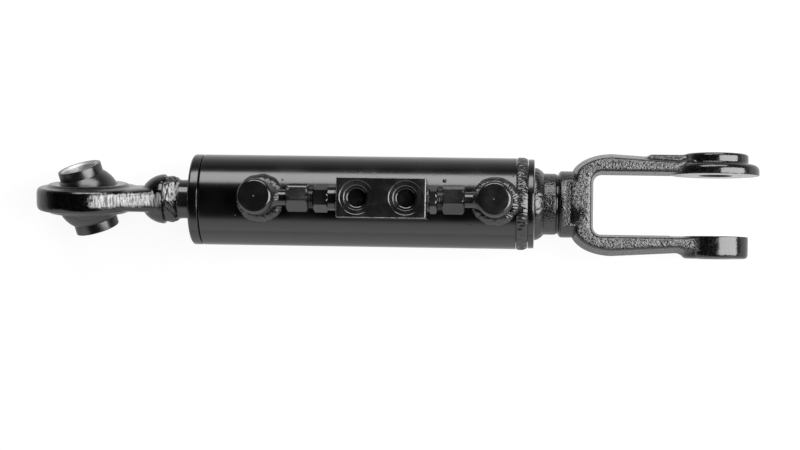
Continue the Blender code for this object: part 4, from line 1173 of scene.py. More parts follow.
@dataclass
class RodEnd:
    """The chromed rod, the forged eye with its ball seat, the bead between them, and the swivel ball."""

    shop: Workshop
    axis_height: float
    ball_x: float
    rod_radius: float = 15.0 * MM
    stud_radius: float = 11.0 * MM
    eye_radius: float = 40.0 * MM
    eye_half: float = 9.0 * MM
    eye_edge: float = 4.0 * MM
    rim_radius: float = 31.3 * MM
    rim_height: float = 2.3 * MM
    eye_axis: Triple = (0.0, math.cos(math.radians(9)), math.sin(math.radians(9)))
    shank_reach: float = 61.1 * MM
    shank_radius: float = 19.3 * MM
    shank_nose: float = 20.0 * MM
    web_half: float = 16.0 * MM
    seat_radius: float = 25.4 * MM
    ball_radius: float = 25.0 * MM
    ball_half: float = 25.5 * MM
    ball_axis: Triple = (-0.24074534, 0.91905429, 0.31205913)
    collar_radius: float = 17.0 * MM
    bore_radius: float = 12.75 * MM
    ball_chamfer: float = 1.75 * MM
    weld_rise: float = 2.75 * MM
    weld_ripple: float = 0.8 * MM

    @property
    def centre(self) -> Triple:
        """The ball's centre."""
        return (self.ball_x, 0.0, self.axis_height)

    def build(self) -> None:
        """Makes all its pieces."""
        self.build_rod()
        self.build_eye()
        self.build_bead()
        self.build_ball()

    def build_rod(self) -> None:
        """The rod, from its weld at the eye to the stud that carries the piston."""
        low, high = span("rod")
        piston = span("piston")[0][0]
        corners = [
            (low[0], 0, 0), (low[0], self.rod_radius, 0), (piston - 2.5 * MM, self.rod_radius, 0.3 * MM),
            (piston - FIT, self.rod_radius - 2 * MM, 0.2 * MM), (piston - FIT, self.stud_radius, 0),
            (high[0], self.stud_radius, 1 * MM), (high[0], 0, 0),
        ]
        shell = turned(rounded(corners), (0, 0, self.axis_height), X_AXIS, Z_AXIS, 160)
        self.shop.piece("chromed_rod", [shell], Finish.CHROME, "rod", "rod")

    def build_eye(self) -> None:
        """The eye: ring, web and domed shank under one forged skin, then the ball seat is bored."""
        half, rim, edge = self.eye_half, self.rim_radius, self.eye_edge
        top = half + self.rim_height
        corners = [(top, 0, 0), (top, rim - 1.0 * MM, 0.9 * MM), (half, rim + 1.5 * MM, 1.6 * MM),
                   (half, self.eye_radius, edge * 1.3)]
        corners += [(-h, r, e) for h, r, e in reversed(corners)]
        ring = turned(rounded(corners, 6), self.centre, self.eye_axis, X_AXIS, 160)
        nose = self.shank_reach - self.shank_nose
        a = np.linspace(0.0, math.pi / 2, 24)
        dome = np.stack([nose + self.shank_nose * (1 - np.cos(a)), self.shank_radius * np.sin(a)], 1)
        tail = rounded([(self.shank_reach, self.shank_radius, 0), (self.shank_reach + 1e-5, self.shank_radius, 0),
                        (self.shank_reach + 1e-5, 0, 0)], 2)
        shank = turned(np.concatenate([dome, tail]), self.centre, X_AXIS, Z_AXIS, 96)
        eye = self.shop.mesh("forged_eye", [ring, shank, self.web()])
        self.shop.soften(eye, 0.75 * MM, 5)
        a = np.linspace(0.0, math.pi, 49)
        sphere = np.stack([np.cos(a), np.sin(a)], 1) * self.seat_radius
        sphere[[0, -1], 1] = 0.0
        seat = self.shop.mesh("seat_cutter", [turned(sphere, self.centre, self.eye_axis, X_AXIS, 96)])
        flat = rounded_box(
            (self.ball_x + self.shank_reach + 20 * MM, 0, self.axis_height), (20 * MM, 30 * MM, 30 * MM), 0.1 * MM, 1
        )
        self.shop.machine(eye, [seat, self.shop.mesh("end_cutter", [flat])])
        self.shop.dress(eye, Finish.EYE, "rod", "rod_eye")

    def web(self) -> Shell:
        """The web between ring and shank.

        Its plan runs from the ring's full width at the ball's centre to the shank's, and its section at each x
        is a superellipse, |y / w|^4 + |z / t|^4 = 1.

        Returns:
            The surface.
        """
        reach = self.shank_reach - 2 * MM
        x = np.linspace(8 * MM, reach, 40)[:, None]
        tangent_x = self.eye_radius**2 / math.hypot(reach, self.web_half)
        blend = np.clip((x - 8 * MM) / (reach - 8 * MM), 0, 1)
        ring_width = np.sqrt(np.clip(self.eye_radius**2 - np.minimum(x, tangent_x) ** 2, 0, None)) - 0.6 * MM
        past = np.clip((x - tangent_x) / (reach - tangent_x), 0, 1)
        width = np.where(x < tangent_x, ring_width, ring_width[-1] + (self.web_half - ring_width[-1]) * past)
        thick = self.eye_half - 0.4 * MM + 1.6 * MM * blend**2
        a = around(72)
        fit = (np.abs(np.cos(a)) ** 4 + np.abs(np.sin(a)) ** 4) ** -0.25
        local = np.stack(np.broadcast_arrays(x, width * fit * np.cos(a), thick * fit * np.sin(a)), -1)
        local = np.concatenate([local[:1] * X_AXIS, local, local[-1:] * X_AXIS])
        return Shell(np.asarray(self.centre) + local @ basis(self.eye_axis, X_AXIS))

    def build_bead(self) -> None:
        """The wide bead from the eye's shank to the rod, in slanting passes.

        The radius is the rod's, plus weld_rise times a flat-topped hump, plus ripples whose phase grows along x.
        """
        low, high = span("rod_weld")
        a, s = around(320), shares(41)
        hump = np.clip(1 - np.abs(2 * s - 0.72) ** 3.2 * 0.82, 0.0, 1.0)
        wave = ripples(7 * a + 7.5 * s + 0.6 * uneven(5, a))
        wave = 0.72 * wave + 0.22 * lumps(3, a, s, 8, 26)
        r = self.rod_radius + 0.15 * MM + self.weld_rise * hump + self.weld_ripple * np.sin(math.pi * s) ** 0.4 * wave
        outer = np.maximum(r, self.rod_radius + 0.1 * MM)
        shell = sleeve(low[0], high[0], outer, self.rod_radius + 0.05 * MM, self.axis_height)
        self.shop.piece("eye_bead", [shell], Finish.ROD_WELD, "rod", "rod_weld")

    def build_ball(self) -> None:
        """The swivel ball: a sphere between two collars, with a bare bore chamfered at both ends."""
        collar, half, bore = self.collar_radius, self.ball_half, self.bore_radius
        meet = math.sqrt(self.ball_radius**2 - collar**2)
        start = math.acos(meet / self.ball_radius)
        a = np.linspace(start, math.pi - start, 64)
        sphere = np.stack([self.ball_radius * np.cos(a), self.ball_radius * np.sin(a)], 1)
        top = rounded([
            (0, bore, 0), (half - self.ball_chamfer, bore, 0.2 * MM), (half, bore + self.ball_chamfer, 0.3 * MM),
            (half, collar, 0.7 * MM), (meet + 0.4 * MM, collar, 0),
        ])
        profile = np.concatenate([top, sphere, top[::-1] * (-1, 1)])
        ball = self.shop.mesh("swivel_ball", [turned(profile, self.centre, self.ball_axis, X_AXIS, 128, True)])

        def bare(points: np.ndarray) -> np.ndarray:
            """Finds the faces of the bore and its chamfers, by their distance from the ball's axis.

            Args:
                points: the middles of the faces.

            Returns:
                Whether each is bare.
            """
            axis = np.asarray(self.ball_axis)
            away = points - np.asarray(self.centre)
            radial = np.linalg.norm(away - (away @ axis)[:, None] * axis, axis=1)
            return radial < bore + self.ball_chamfer * 0.97

        self.shop.dress(ball, Finish.BALL, "ball", "ball", bore=bare)


# ---- The fork


@dataclass
class Fork:
    """The drop-forged fork: drafted arms on a yoke, a turned neck, a bossed ear on each arm and a rib."""

    shop: Workshop
    axis_height: float
    cap_face: float
    pin_x: float
    neck_radius: float = 23.5 * MM
    neck_length: float = 9.4 * MM
    bead_length: float = 7.5 * MM
    bead_leg: float = 4.5 * MM
    collar_radius: float = 25.5 * MM
    collar_length: float = 9.2 * MM
    groove: float = 1.5 * MM
    groove_depth: float = 0.8 * MM
    flat_reach: float = 4.4 * MM
    flat_step: float = 1.6 * MM
    half_gap: float = 22.8 * MM
    arm: float = 16.5 * MM
    ear_arm: float = 13.5 * MM
    yoke: float = 17.7 * MM
    yoke_corner: float = 6.0 * MM
    shoulder: float = 32.0 * MM
    shoulder_start: float = 20.0 * MM
    half_width: float = 19.0 * MM
    outer_draft: float = math.radians(12.5)
    inner_draft: float = math.radians(7.0)
    edge: float = 2.2 * MM
    ear_gap: float = 23.4 * MM
    ear_thickness: float = 16.6 * MM
    ear_radius: float = 25.0 * MM
    ear_chamfer: float = 2.5 * MM
    ear_stock: float = 0.8 * MM
    flange_radius: float = 33.3 * MM
    flange_thickness: float = 8.6 * MM
    bore_radius: float = 12.75 * MM
    rib_start: float = 54.5 * MM
    rib_half: float = 11.0 * MM

    @property
    def face(self) -> float:
        """How far the ears' outer faces lie from the middle."""
        return self.ear_gap + self.ear_thickness

    def build(self) -> None:
        """Makes the forging under one skin, then joins the neck, faces the ears and bores them."""
        fork = self.shop.mesh("forged_fork", [self.lower_ear(), self.upper_ear()])
        slab = self.slab("arms", *self.arm_plan(), self.half_width, self.edge)
        rib = self.slab("rib", *self.rib_plan(), self.rib_half, self.edge * 0.7)
        bpy.context.view_layer.objects.active = fork
        with bpy.context.temp_override(active_object=fork, selected_editable_objects=[fork, slab, rib]):
            bpy.ops.object.join()
        self.shop.soften(fork, 0.85 * MM, 4)
        self.shop.machine(fork, [self.shop.mesh("neck", [self.neck()])], "UNION")
        pin = (self.pin_x, 0.0, self.axis_height)
        face, gap = self.face, self.ear_gap
        facing = rounded([(-gap, 0, 0), (-gap, self.flange_radius + 1 * MM, 0.4 * MM),
                          (gap, self.flange_radius + 1 * MM, 0.4 * MM), (gap, 0, 0)])
        bore, lead = self.bore_radius, 0.7 * MM
        hole = rounded([(-face - lead, 0, 0), (-face - lead, bore + 2 * lead, 0), (-face + lead, bore, 0),
                        (face - lead, bore, 0), (face + lead, bore + 2 * lead, 0), (face + lead, 0, 0)])
        cutters = [self.shop.mesh(name, [turned(line, pin, Y_AXIS, X_AXIS, 128)])
                   for name, line in (("ear_facing", facing), ("pin_bore", hole))]
        self.shop.machine(fork, cutters)
        self.shop.dress(fork, Finish.FORGED, "barrel", "fork")

    def arm_plan(self) -> tuple[np.ndarray, np.ndarray]:
        """The outline of arms and yoke on the parting plane.

        The shoulders are quarter ellipses and the inner corners quarter circles.

        Returns:
            Points, anticlockwise, and the draft at each.
        """
        crotch = self.cap_face + self.bead_length + self.neck_length + self.groove + self.collar_length
        inner, outer = crotch + self.yoke, self.half_gap + self.arm
        tip, ear_side = self.pin_x + 6 * MM, self.pin_x - self.ear_radius
        ear_back = self.half_gap + self.ear_arm
        step = self.face - 2.0 * MM - ear_back
        a = np.linspace(0.0, math.pi / 2, 24)
        shoulder = np.stack([crotch + self.shoulder * (1 - np.cos(a)),
                             self.shoulder_start + (outer - self.shoulder_start) * np.sin(a)], 1)
        corner = self.yoke_corner
        bend = np.stack([inner + corner * (1 + np.cos(a + math.pi / 2)),
                         self.half_gap - corner * (1 - np.sin(a + math.pi / 2))], 1)
        outside = np.concatenate([
            [[crotch - self.collar_length / 2, self.shoulder_start * 0.9]], shoulder,
            [[ear_side - step * 2.2, ear_back], [ear_side, ear_back + step], [tip, ear_back + step]],
        ])
        inside = np.concatenate([[[tip, self.half_gap]], bend])
        half = np.concatenate([outside, inside])
        drafts = np.concatenate([np.full(len(outside) - 1, self.outer_draft),
                                 np.full(len(inside) + 1, self.inner_draft)])
        return np.concatenate([half * (1, -1), half[::-1]]), np.concatenate([drafts, drafts[::-1]])

    def rib_plan(self) -> tuple[np.ndarray, np.ndarray]:
        """The outline of the rib that carries the upper ear's boss.

        Returns:
            Points, anticlockwise, and the draft at each.
        """
        foot, root = self.pin_x - self.rib_start, self.half_gap + self.ear_arm / 2
        top = self.face - 0.6 * MM
        rise = top - self.half_gap - self.ear_arm
        near = self.pin_x - self.ear_radius / 2
        plan = np.array([(foot, root), (near, root), (near, top), (foot + rise * 1.6, top), (foot, top - rise)])
        return plan, np.full(len(plan), self.outer_draft / 2)

    def slab(self, name: str, plan: np.ndarray, drafts: np.ndarray, half: float, edge: float) -> Any:
        """A forging between two dies: the plan at each height, moved inwards by draft and edge.

        At height z the inset is |z| tan(draft), and over the last edge height a quarter circle's as well. A point
        moves along its mitre, the sum of its two sides' normals, by inset / cos(half the turn).

        Args:
            name: the object.
            plan: the outline on the parting plane, anticlockwise.
            drafts: the draft at each of its points.
            half: half the forging's width.
            edge: the radius of its edges.

        Returns:
            The object.
        """
        turn = np.linspace(0.0, math.pi / 2, 7)
        z = np.concatenate([[0.0], half - edge * (1 - np.sin(turn))])
        corner = np.concatenate([[0.0], edge * (1 - np.cos(turn))])
        z, corner = np.concatenate([-z[:0:-1], z]), np.concatenate([corner[:0:-1], corner])
        quarter_turn = np.array([[0, 1], [-1, 0]])
        after = np.roll(plan, -1, axis=0) - plan
        after /= np.linalg.norm(after, axis=1)[:, None]
        mitre = (np.roll(after, 1, axis=0) + after) @ quarter_turn
        mitre /= np.linalg.norm(mitre, axis=1)[:, None]
        cosine = np.clip((mitre * (after @ quarter_turn)).sum(1), 0.5, 1.0)
        inset = (np.abs(z)[:, None] * np.tan(drafts) + corner[:, None]) / cosine
        flat = plan + mitre * inset[..., None]
        height = np.broadcast_to(z[:, None, None] + self.axis_height, (*flat.shape[:2], 1))
        shell = Shell(np.concatenate([flat, height], -1))
        rows, columns = flat.shape[:2]
        caps = [list(range(columns))[::-1], list(range((rows - 1) * columns, rows * columns))]
        return self.shop.cast(name, shell.points.reshape(-1, 3), shell.faces(0).tolist() + caps)

    def ear(self, corners: Sequence[Triple]) -> Shell:
        """Turns an ear's profile about the pin's axis."""
        return turned(rounded(corners, 5), (self.pin_x, 0, self.axis_height), Y_AXIS, X_AXIS, 128)

    def lower_ear(self) -> Shell:
        """The plain ear.

        Returns:
            The surface.
        """
        gap, face = self.ear_gap - self.ear_stock, self.face
        return self.ear([(-face, 0, 0), (-face, self.ear_radius - 1 * MM, self.ear_chamfer),
                         (-face + self.ear_chamfer, self.ear_radius, self.ear_chamfer),
                         (-gap, self.ear_radius, 1 * MM), (-gap, 0, 0)])

    def upper_ear(self) -> Shell:
        """The ear with the wide flange on its inner side.

        Returns:
            The surface.
        """
        gap, face = self.ear_gap - self.ear_stock, self.face
        ledge, chamfer = self.ear_gap + self.flange_thickness, self.ear_chamfer
        return self.ear([(gap, 0, 0), (gap, self.flange_radius, 1.4 * MM),
                         (ledge - chamfer, self.flange_radius, chamfer),
                         (ledge, self.flange_radius - chamfer * 1.4, chamfer),
                         (ledge, self.ear_radius - 1.0 * MM, 1.0 * MM), (ledge + 2 * MM, self.ear_radius, 1.0 * MM),
                         (face - 1 * MM, self.ear_radius, 1.4 * MM), (face, self.ear_radius - 2 * MM, 1.4 * MM),
                         (face, 0, 0)])

    def neck(self) -> Shell:
        """The neck, its groove and its collar, with a dome that runs into the yoke.

        The dies' flats start flat_reach before the collar's end: over flat_step the height is held to
        R + (flat - R) s^2 (3 - 2s), where s is the share of the step.

        Returns:
            The surface.
        """
        toe, root, groove = self.cap_face + self.bead_length, self.neck_radius - self.bead_leg, self.groove_depth
        start, end = self.cap_face + FIT, toe + self.neck_length
        collar, dome = end + self.groove, self.yoke * 0.85
        a = np.linspace(0.0, math.pi / 2, 16)
        tail = collar + self.collar_length
        nose = np.stack([tail + dome * np.sin(a), self.collar_radius * np.cos(a)], 1)
        nose[-1, 1] = 0.0
        front = rounded([
            (start, 0, 0), (start, root, 0), (toe, root, 0), (toe, self.neck_radius, 0.3 * MM),
            (end - 0.8 * MM, self.neck_radius, 1.6 * MM), (end + 0.4 * MM, self.neck_radius - groove, 0.4 * MM),
            (collar - 0.3 * MM, self.neck_radius - groove, 0.5 * MM),
            (collar + 0.9 * MM, self.collar_radius - 0.4 * MM, 1.2 * MM),
            (collar + 2.5 * MM, self.collar_radius, 1.5 * MM), (tail - self.flat_reach, self.collar_radius, 0),
        ])
        edge = np.linspace(tail - self.flat_reach, tail - self.flat_reach + self.flat_step, 7)[1:]
        step = np.stack([edge, np.full(6, self.collar_radius)], 1)
        shell = turned(np.concatenate([front, step, nose]), (0, 0, self.axis_height), X_AXIS, Z_AXIS, 128)
        s = np.clip((shell.points[..., 0] - tail + self.flat_reach) / self.flat_step, 0.0, 1.0)
        held = self.collar_radius + (self.half_width - 0.5 * MM - self.collar_radius) * s * s * (3 - 2 * s)
        shell.points[..., 2] = self.axis_height + np.clip(shell.points[..., 2] - self.axis_height, -held, held)
        return shell


# ---- The oil line


@dataclass
class OilLine:
    """The port bosses, pipes, unions and stud fittings along the top, and the valve block between them."""

    shop: Workshop
    axis_height: float
    line_height: float
    tube_radius: float = 35.0 * MM
    boss_radius: float = 13.35 * MM
    boss_chamfer: float = 1.9 * MM
    mark: float = 0.6 * MM
    fillet_leg: float = 5.2 * MM
    fillet_height: float = 3.9 * MM
    fillet_ripple: float = 0.42 * MM
    pipe_radius: float = 6.0 * MM
    pipe_wall: float = 1.5 * MM
    pipe_leg: float = 2.2 * MM
    pipe_bead: float = 3.2 * MM
    nut_flats: float = 19.8 * MM
    nut_turn: dict[str, float] = field(default_factory=lambda: {"left": math.radians(13), "right": math.radians(17)})
    nut_overlap: float = 9.5 * MM
    nut_floor: float = 4.0 * MM
    hex_flats: float = 19.0 * MM
    thread_radius: float = 8.5 * MM
    thread_pitch: float = 1.5 * MM
    stud_thread: float = 0.42 * MM
    port_thread: float = 0.35 * MM
    stud_radius: float = 7.9 * MM
    stud_collar: float = 5.5 * MM
    stud_plug: float = 6.9 * MM
    oil_way: float = 3.0 * MM
    hex_relief: float = 4.2 * MM
    washer: float = 1.5 * MM
    washer_radius: float = 9.5 * MM
    block_edge: float = 0.9 * MM
    port_bore: float = 7.5 * MM
    port_mouth: float = 9.5 * MM
    port_face: float = 13.1 * MM
    port_depth: float = 11.5 * MM
    face_depth: float = 0.5 * MM
    spacing: float = 36.6 * MM

    def build(self) -> None:
        """Makes all its pieces."""
        for side in ("left", "right"):
            inward = 1.0 if side == "left" else -1.0
            self.build_boss(side)
            self.build_pipe(side, inward)
            self.build_union(side)
            self.build_stud(side)
        self.build_block()

    def saddle(self, aside: np.ndarray) -> np.ndarray:
        """The barrel's height beside its middle, sqrt(R^2 - aside^2) above its axis."""
        return self.axis_height + np.sqrt(self.tube_radius**2 - aside**2)

    def build_boss(self, side: str) -> None:
        """A boss on the barrel, and the rough fillet bead round its foot.

        Both stand on the barrel's saddle.

        Args:
            side: left or right.
        """
        low, high = span(f"port_boss_{side}")
        x, top = (low[0] + high[0]) / 2, high[2]
        a = around(128)
        r, cut = self.boss_radius, self.boss_chamfer
        crown = rounded([(top - 6 * MM, r, 0), (top - cut, r, 1.3 * MM), (top, r - cut, 1.0 * MM),
                         (top, self.mark, 0.2 * MM), (top - self.mark, 0, 0)])
        foot = np.full_like(a, self.axis_height + self.tube_radius - 0.5 * MM)
        z = np.concatenate([foot, self.saddle(r * np.sin(a)) - FIT, crown[:, :1] + 0 * a])
        radius = np.concatenate([[[0.0]], [[r]], crown[:, 1:]])
        shell = Shell(about_z(x, radius, a, z))
        self.shop.piece(f"boss_{side}", [shell], Finish.FITTING, "barrel", f"port_boss_{side}")

        a, t = around(480), shares(17)
        seed = 11 if side == "left" else 12
        quarter = math.pi / 2 * t
        across = self.fillet_leg * (1 + 0.10 * uneven(seed, a, 11)) * np.cos(quarter) ** 0.9
        rise = self.fillet_height * (1 + 0.10 * uneven(seed + 5, a, 9)) * np.sin(quarter)
        wave = ripples(23 * a + 1.6 * (2 * t - 1) ** 2 + uneven(seed + 9, a)) * np.sin(math.pi * t) ** 0.5
        wave = 0.6 * wave + 0.5 * np.sin(math.pi * t) ** 0.5 * lumps(seed, a, t, 9, 26)
        radial = r + 0.1 * MM + across + self.fillet_ripple * wave
        z = self.saddle(radial * np.sin(a)) + rise + self.fillet_ripple * wave
        inner = np.full_like(a, r + 0.1 * MM)
        z = np.concatenate([z[:1] - 0.3 * MM, z[1:], self.saddle(inner * np.sin(a)) - 0.5 * MM])
        shell = Shell(about_z(x, np.concatenate([radial, inner]), a, z), (True, True))
        self.shop.piece(f"boss_bead_{side}", [shell], Finish.WELD, "barrel", f"boss_weld_{side}")

    def line(self, corners: Sequence[Triple], x: float, way: float) -> Shell:
        """Turns a closed profile about the oil line, with heights measured from x in the direction way."""
        return turned(rounded(corners, 4, True), (x, 0, self.line_height), (way, 0, 0), Z_AXIS, 96, True)

    def build_pipe(self, side: str, inward: float) -> None:
        """The pipe, and its small bead where it meets the boss.

        The bead's foot at angle a lies on the boss, at sqrt(R^2 - (r sin a)^2) from the boss's axis.

        Args:
            side: left or right.
            inward: the sign of x towards the block.
        """
        low, high = span(f"pipe_{side}")
        r, wall = self.pipe_radius, self.pipe_wall
        corners = [(x, radius, 0.2 * MM)
                   for x, radius in ((low[0], r - wall), (low[0], r), (high[0], r), (high[0], r - wall))]
        self.shop.piece(f"oil_pipe_{side}", [self.line(corners, 0.0, 1.0)], Finish.FITTING, "barrel", f"pipe_{side}")
        low, high = span(f"port_boss_{side}")
        boss = (low[0] + high[0]) / 2
        a, t = around(240), shares(13)
        wave = ripples(15 * a + 1.2 * (2 * t - 1) ** 2) * np.sin(math.pi * t) ** 0.6
        radial = r + 0.05 * MM + self.pipe_leg * (1 - t) ** 1.3 + 0.16 * MM * wave
        foot = np.sqrt(self.boss_radius**2 - (radial * np.sin(a)) ** 2)
        along = foot + self.pipe_bead * t**1.2 + 0.12 * MM * wave
        radial = np.concatenate([radial, np.full_like(a, r + 0.05 * MM)])
        start = np.sqrt(self.boss_radius**2 - (radial[-1:] * np.sin(a)) ** 2) - 0.3 * MM
        along = np.concatenate([along[:1] - 0.2 * MM, along[1:], start])
        shell = Shell(about_x(boss + inward * along, radial, a, self.line_height), (True, True))
        self.shop.piece(f"pipe_bead_{side}", [shell], Finish.WELD, "barrel", f"pipe_weld_{side}")

    def build_union(self, side: str) -> None:
        """The union nut, with a long chamfer towards the boss.

        Args:
            side: left or right.
        """
        low, high = span(f"union_nut_{side}")
        start, way = (high[0], -1.0) if side == "left" else (low[0], 1.0)
        length, across = high[0] - low[0], self.nut_flats
        corner, inner = across / math.sqrt(3), self.pipe_radius + FIT
        ease = corner - across / 2
        thread, floor = self.thread_radius + FIT, length - self.nut_floor
        lead = rounded([(0, thread, 0.3 * MM), (0, across / 2 - 0.3 * MM, 0.3 * MM), (ease * 0.6, corner, 0)], 4)
        body = np.stack([np.linspace(ease * 0.6, length - ease * 1.15, 12), np.full(12, corner)], 1)
        tail = rounded([(length - ease * 1.15, corner, 0), (length - 0.5 * ease, across / 2, 0.5 * MM),
                        (length, across / 2 - 1.3 * MM, 0.4 * MM), (length, inner, 0.3 * MM), (floor, inner, 0),
                        (floor, thread, 0)], 8)
        profile = np.concatenate([lead, body, tail])
        flats = (profile[:, 1] > across / 2 - 0.05 * MM).astype(int)
        turn = way * self.nut_turn[side]
        shell = hexed(profile, flats, across, turn, (start, 0, self.line_height), (way, 0, 0))
        self.shop.piece(f"union_{side}", [shell], Finish.FITTING, "barrel", f"union_nut_{side}")

    def build_stud(self, side: str) -> None:
        """The stud fitting, with a thread under the union nut, and its seal washer.

        Args:
            side: left or right.
        """
        block_low, block_high = span("valve_block")
        face, way = (block_low[0], -1.0) if side == "left" else (block_high[0], 1.0)
        nut_low, nut_high = span(f"union_nut_{side}")
        nut = abs((nut_high[0] if side == "left" else nut_low[0]) - face)
        end, hex_end = nut + self.nut_overlap, nut - self.hex_relief
        collar = self.stud_collar if side == "left" else 0.0
        across, foot, base = self.hex_flats, self.washer, self.washer + collar
        corner = across / math.sqrt(3)
        ease = corner - across / 2
        pitch, t = self.thread_pitch, np.arange(hex_end + 0.4 * MM, end, self.thread_pitch / 6)
        ridge = self.thread_radius - self.stud_thread * (1 + np.cos(2 * math.pi * (t - hex_end) / pitch))
        thread = np.stack([t, ridge], 1)
        head = rounded([(base, self.stud_radius if not collar else across / 2 - 0.2 * MM, 0),
                        (base, across / 2 - 0.3 * MM, 0.2 * MM), (base + ease * 0.6, corner, 0)], 4)
        body = np.stack([np.linspace(base + ease * 0.6, hex_end - ease * 0.6, 8), np.full(8, corner)], 1)
        tail = rounded([(hex_end - ease * 0.6, corner, 0), (hex_end, across / 2 - 0.3 * MM, 0.3 * MM),
                        (hex_end, self.thread_radius - 0.8 * MM, 0)], 4)
        rim = [(foot, self.stud_radius, 0), (foot, across / 2, 0.5 * MM), (base, across / 2, 0.2 * MM)]
        plug = [(end, self.pipe_radius + FIT), (nut, self.pipe_radius + FIT), (nut, self.oil_way),
                (-self.stud_plug, self.oil_way), (-self.stud_plug, self.stud_radius)]
        profile = np.concatenate([plug, *([rounded(rim)] if collar else []), head, body, tail, thread])
        cut = (profile[:, 1] > across / 2 + 0.05 * MM).astype(int)
        shell = hexed(profile, cut, across, math.pi / 6, (face, 0, self.line_height), (way, 0, 0))
        self.shop.piece(f"stud_{side}", [shell], Finish.FITTING, "barrel", f"stud_fitting_{side}")
        outer, inner, far = self.washer_radius, self.stud_radius + FIT, self.washer - 0.1 * MM
        corners = [(FIT, inner, 0), (FIT, outer, 0.2 * MM), (far, outer, 0.2 * MM), (far, inner, 0)]
        washer = self.line(corners, face, way)
        self.shop.piece(f"washer_{side}", [washer], Finish.WASHER, "barrel", f"seal_washer_{side}")

    def build_block(self) -> None:
        """The valve block: a box with eased edges, faced and threaded for two hoses."""
        low, high = span("valve_block")
        block = self.shop.mesh("check_block", [rounded_box((low + high) / 2, (high - low) / 2, self.block_edge, 4)])
        top, shelf = high[2], high[2] - self.face_depth
        floor = top - self.port_depth
        mouth = self.port_mouth - self.port_bore
        t = np.arange(shelf - 2 * mouth - 0.3 * MM, floor + 1 * MM, -self.thread_pitch / 6)
        ridge = self.port_bore + self.port_thread * (np.cos(2 * math.pi * (t - floor) / self.thread_pitch) - 0.6)
        start = rounded([(top + 2 * MM, 0, 0), (top + 2 * MM, self.port_face, 0), (top, self.port_face, 0.2 * MM),
                         (shelf, self.port_face - 0.7 * MM, 0.35 * MM), (shelf, self.port_mouth, 0.3 * MM),
                         (shelf - 0.7 * MM, self.port_mouth - 0.8 * MM, 0.3 * MM),
                         (shelf - 2 * mouth, self.port_bore, 0.2 * MM)], 4)
        profile = np.concatenate([start, np.stack([t, ridge], 1), [[floor, self.port_bore - 0.4 * MM], [floor, 0.0]]])
        middle = (low[0] + high[0]) / 2
        ports = {"port_left": middle - self.spacing / 2, "port_right": middle + self.spacing / 2}
        self.shop.machine(block, [self.shop.mesh(name, [turned(profile, (x, 0, 0), Z_AXIS, X_AXIS, 96)])
                                  for name, x in ports.items()])
        self.shop.dress(block, Finish.BLOCK, "barrel", "valve_block")


# ---- Hidden pieces


@dataclass
class InnerWorks:
    """The pieces inside: check springs, and CAD shapes that get finishes."""

    shop: Workshop
    line_height: float
    wire: float = 0.9 * MM
    coil_radius: float = 2.15 * MM
    turns: float = 5.0
    shortened: float = 0.7
    nodes: dict[Finish, tuple[str, ...]] = field(default_factory=lambda: {
        Finish.STEEL: ("piston", "piston_nut", "cutting_ring_left", "cutting_ring_right", "check_poppet_left",
                       "check_poppet_right", "pilot_piston"),
        Finish.RUBBER: ("rod_seal", "gland_o_ring", "piston_seal", "piston_o_ring"),
        Finish.RESIN: ("gland_guide_ring", "piston_wear_ring_front", "piston_wear_ring_back"),
    })

    def build(self, frame: dict[str, Any]) -> None:
        """Makes the springs and gives each other node its finish.
        """
        self.build_spring("left", -1.0)
        self.build_spring("right", 1.0)
        for finish, names in self.nodes.items():
            for name in names:
                for slot in frame["nodes"][name].material_slots:
                    slot.material = self.shop.finishes[finish]
                log.info("%s: finish %s", name, finish.name.lower())

    def build_spring(self, side: str, outward: float) -> None:
        """A check spring: a round wire carried along a coil whose end turns are closed.

        After t turns the path stands at the angle 2 pi t. It rises one wire a turn in the end turns and evenly
        between them. The wire's point at angle b is path + wire / 2 (cos b out + sin b across).

        Args:
            side: left or right.
            outward: the sign of x away from the pilot piston.
        """
        low, high = span(f"check_spring_{side}")
        start, end = (high[0], low[0]) if outward < 0 else (low[0], high[0])
        length = abs(end - start) - self.wire
        t = np.linspace(0.0, self.turns, int(self.turns) * 40 + 1)
        marks = [0.0, 1.0, self.turns - 1, self.turns]
        height = np.interp(t, marks, [0.0, self.wire, length - self.wire, length]) + self.wire / 2
        angle = 2 * math.pi * t
        radial = np.stack([0 * t, np.cos(angle), np.sin(angle)], -1)
        path = self.coil_radius * radial
        path[:, 0] = start + outward * height
        path[:, 2] += self.line_height
        along = np.gradient(path, axis=0)
        across = np.cross(along / np.linalg.norm(along, axis=1)[:, None], radial)
        b = around(12)[..., None]
        ring = self.wire / 2 * (np.cos(b) * radial[:, None] + np.sin(b) * across[:, None])
        ring = np.concatenate([0 * ring[:1], ring, 0 * ring[-1:]])
        path = np.concatenate([path[:1], path, path[-1:]])
        spring = self.shop.piece(
            f"spring_{side}", [Shell(path[:, None] + ring)], Finish.STEEL, "barrel", f"check_spring_{side}"
        )
        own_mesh(spring)


# ---- Studio


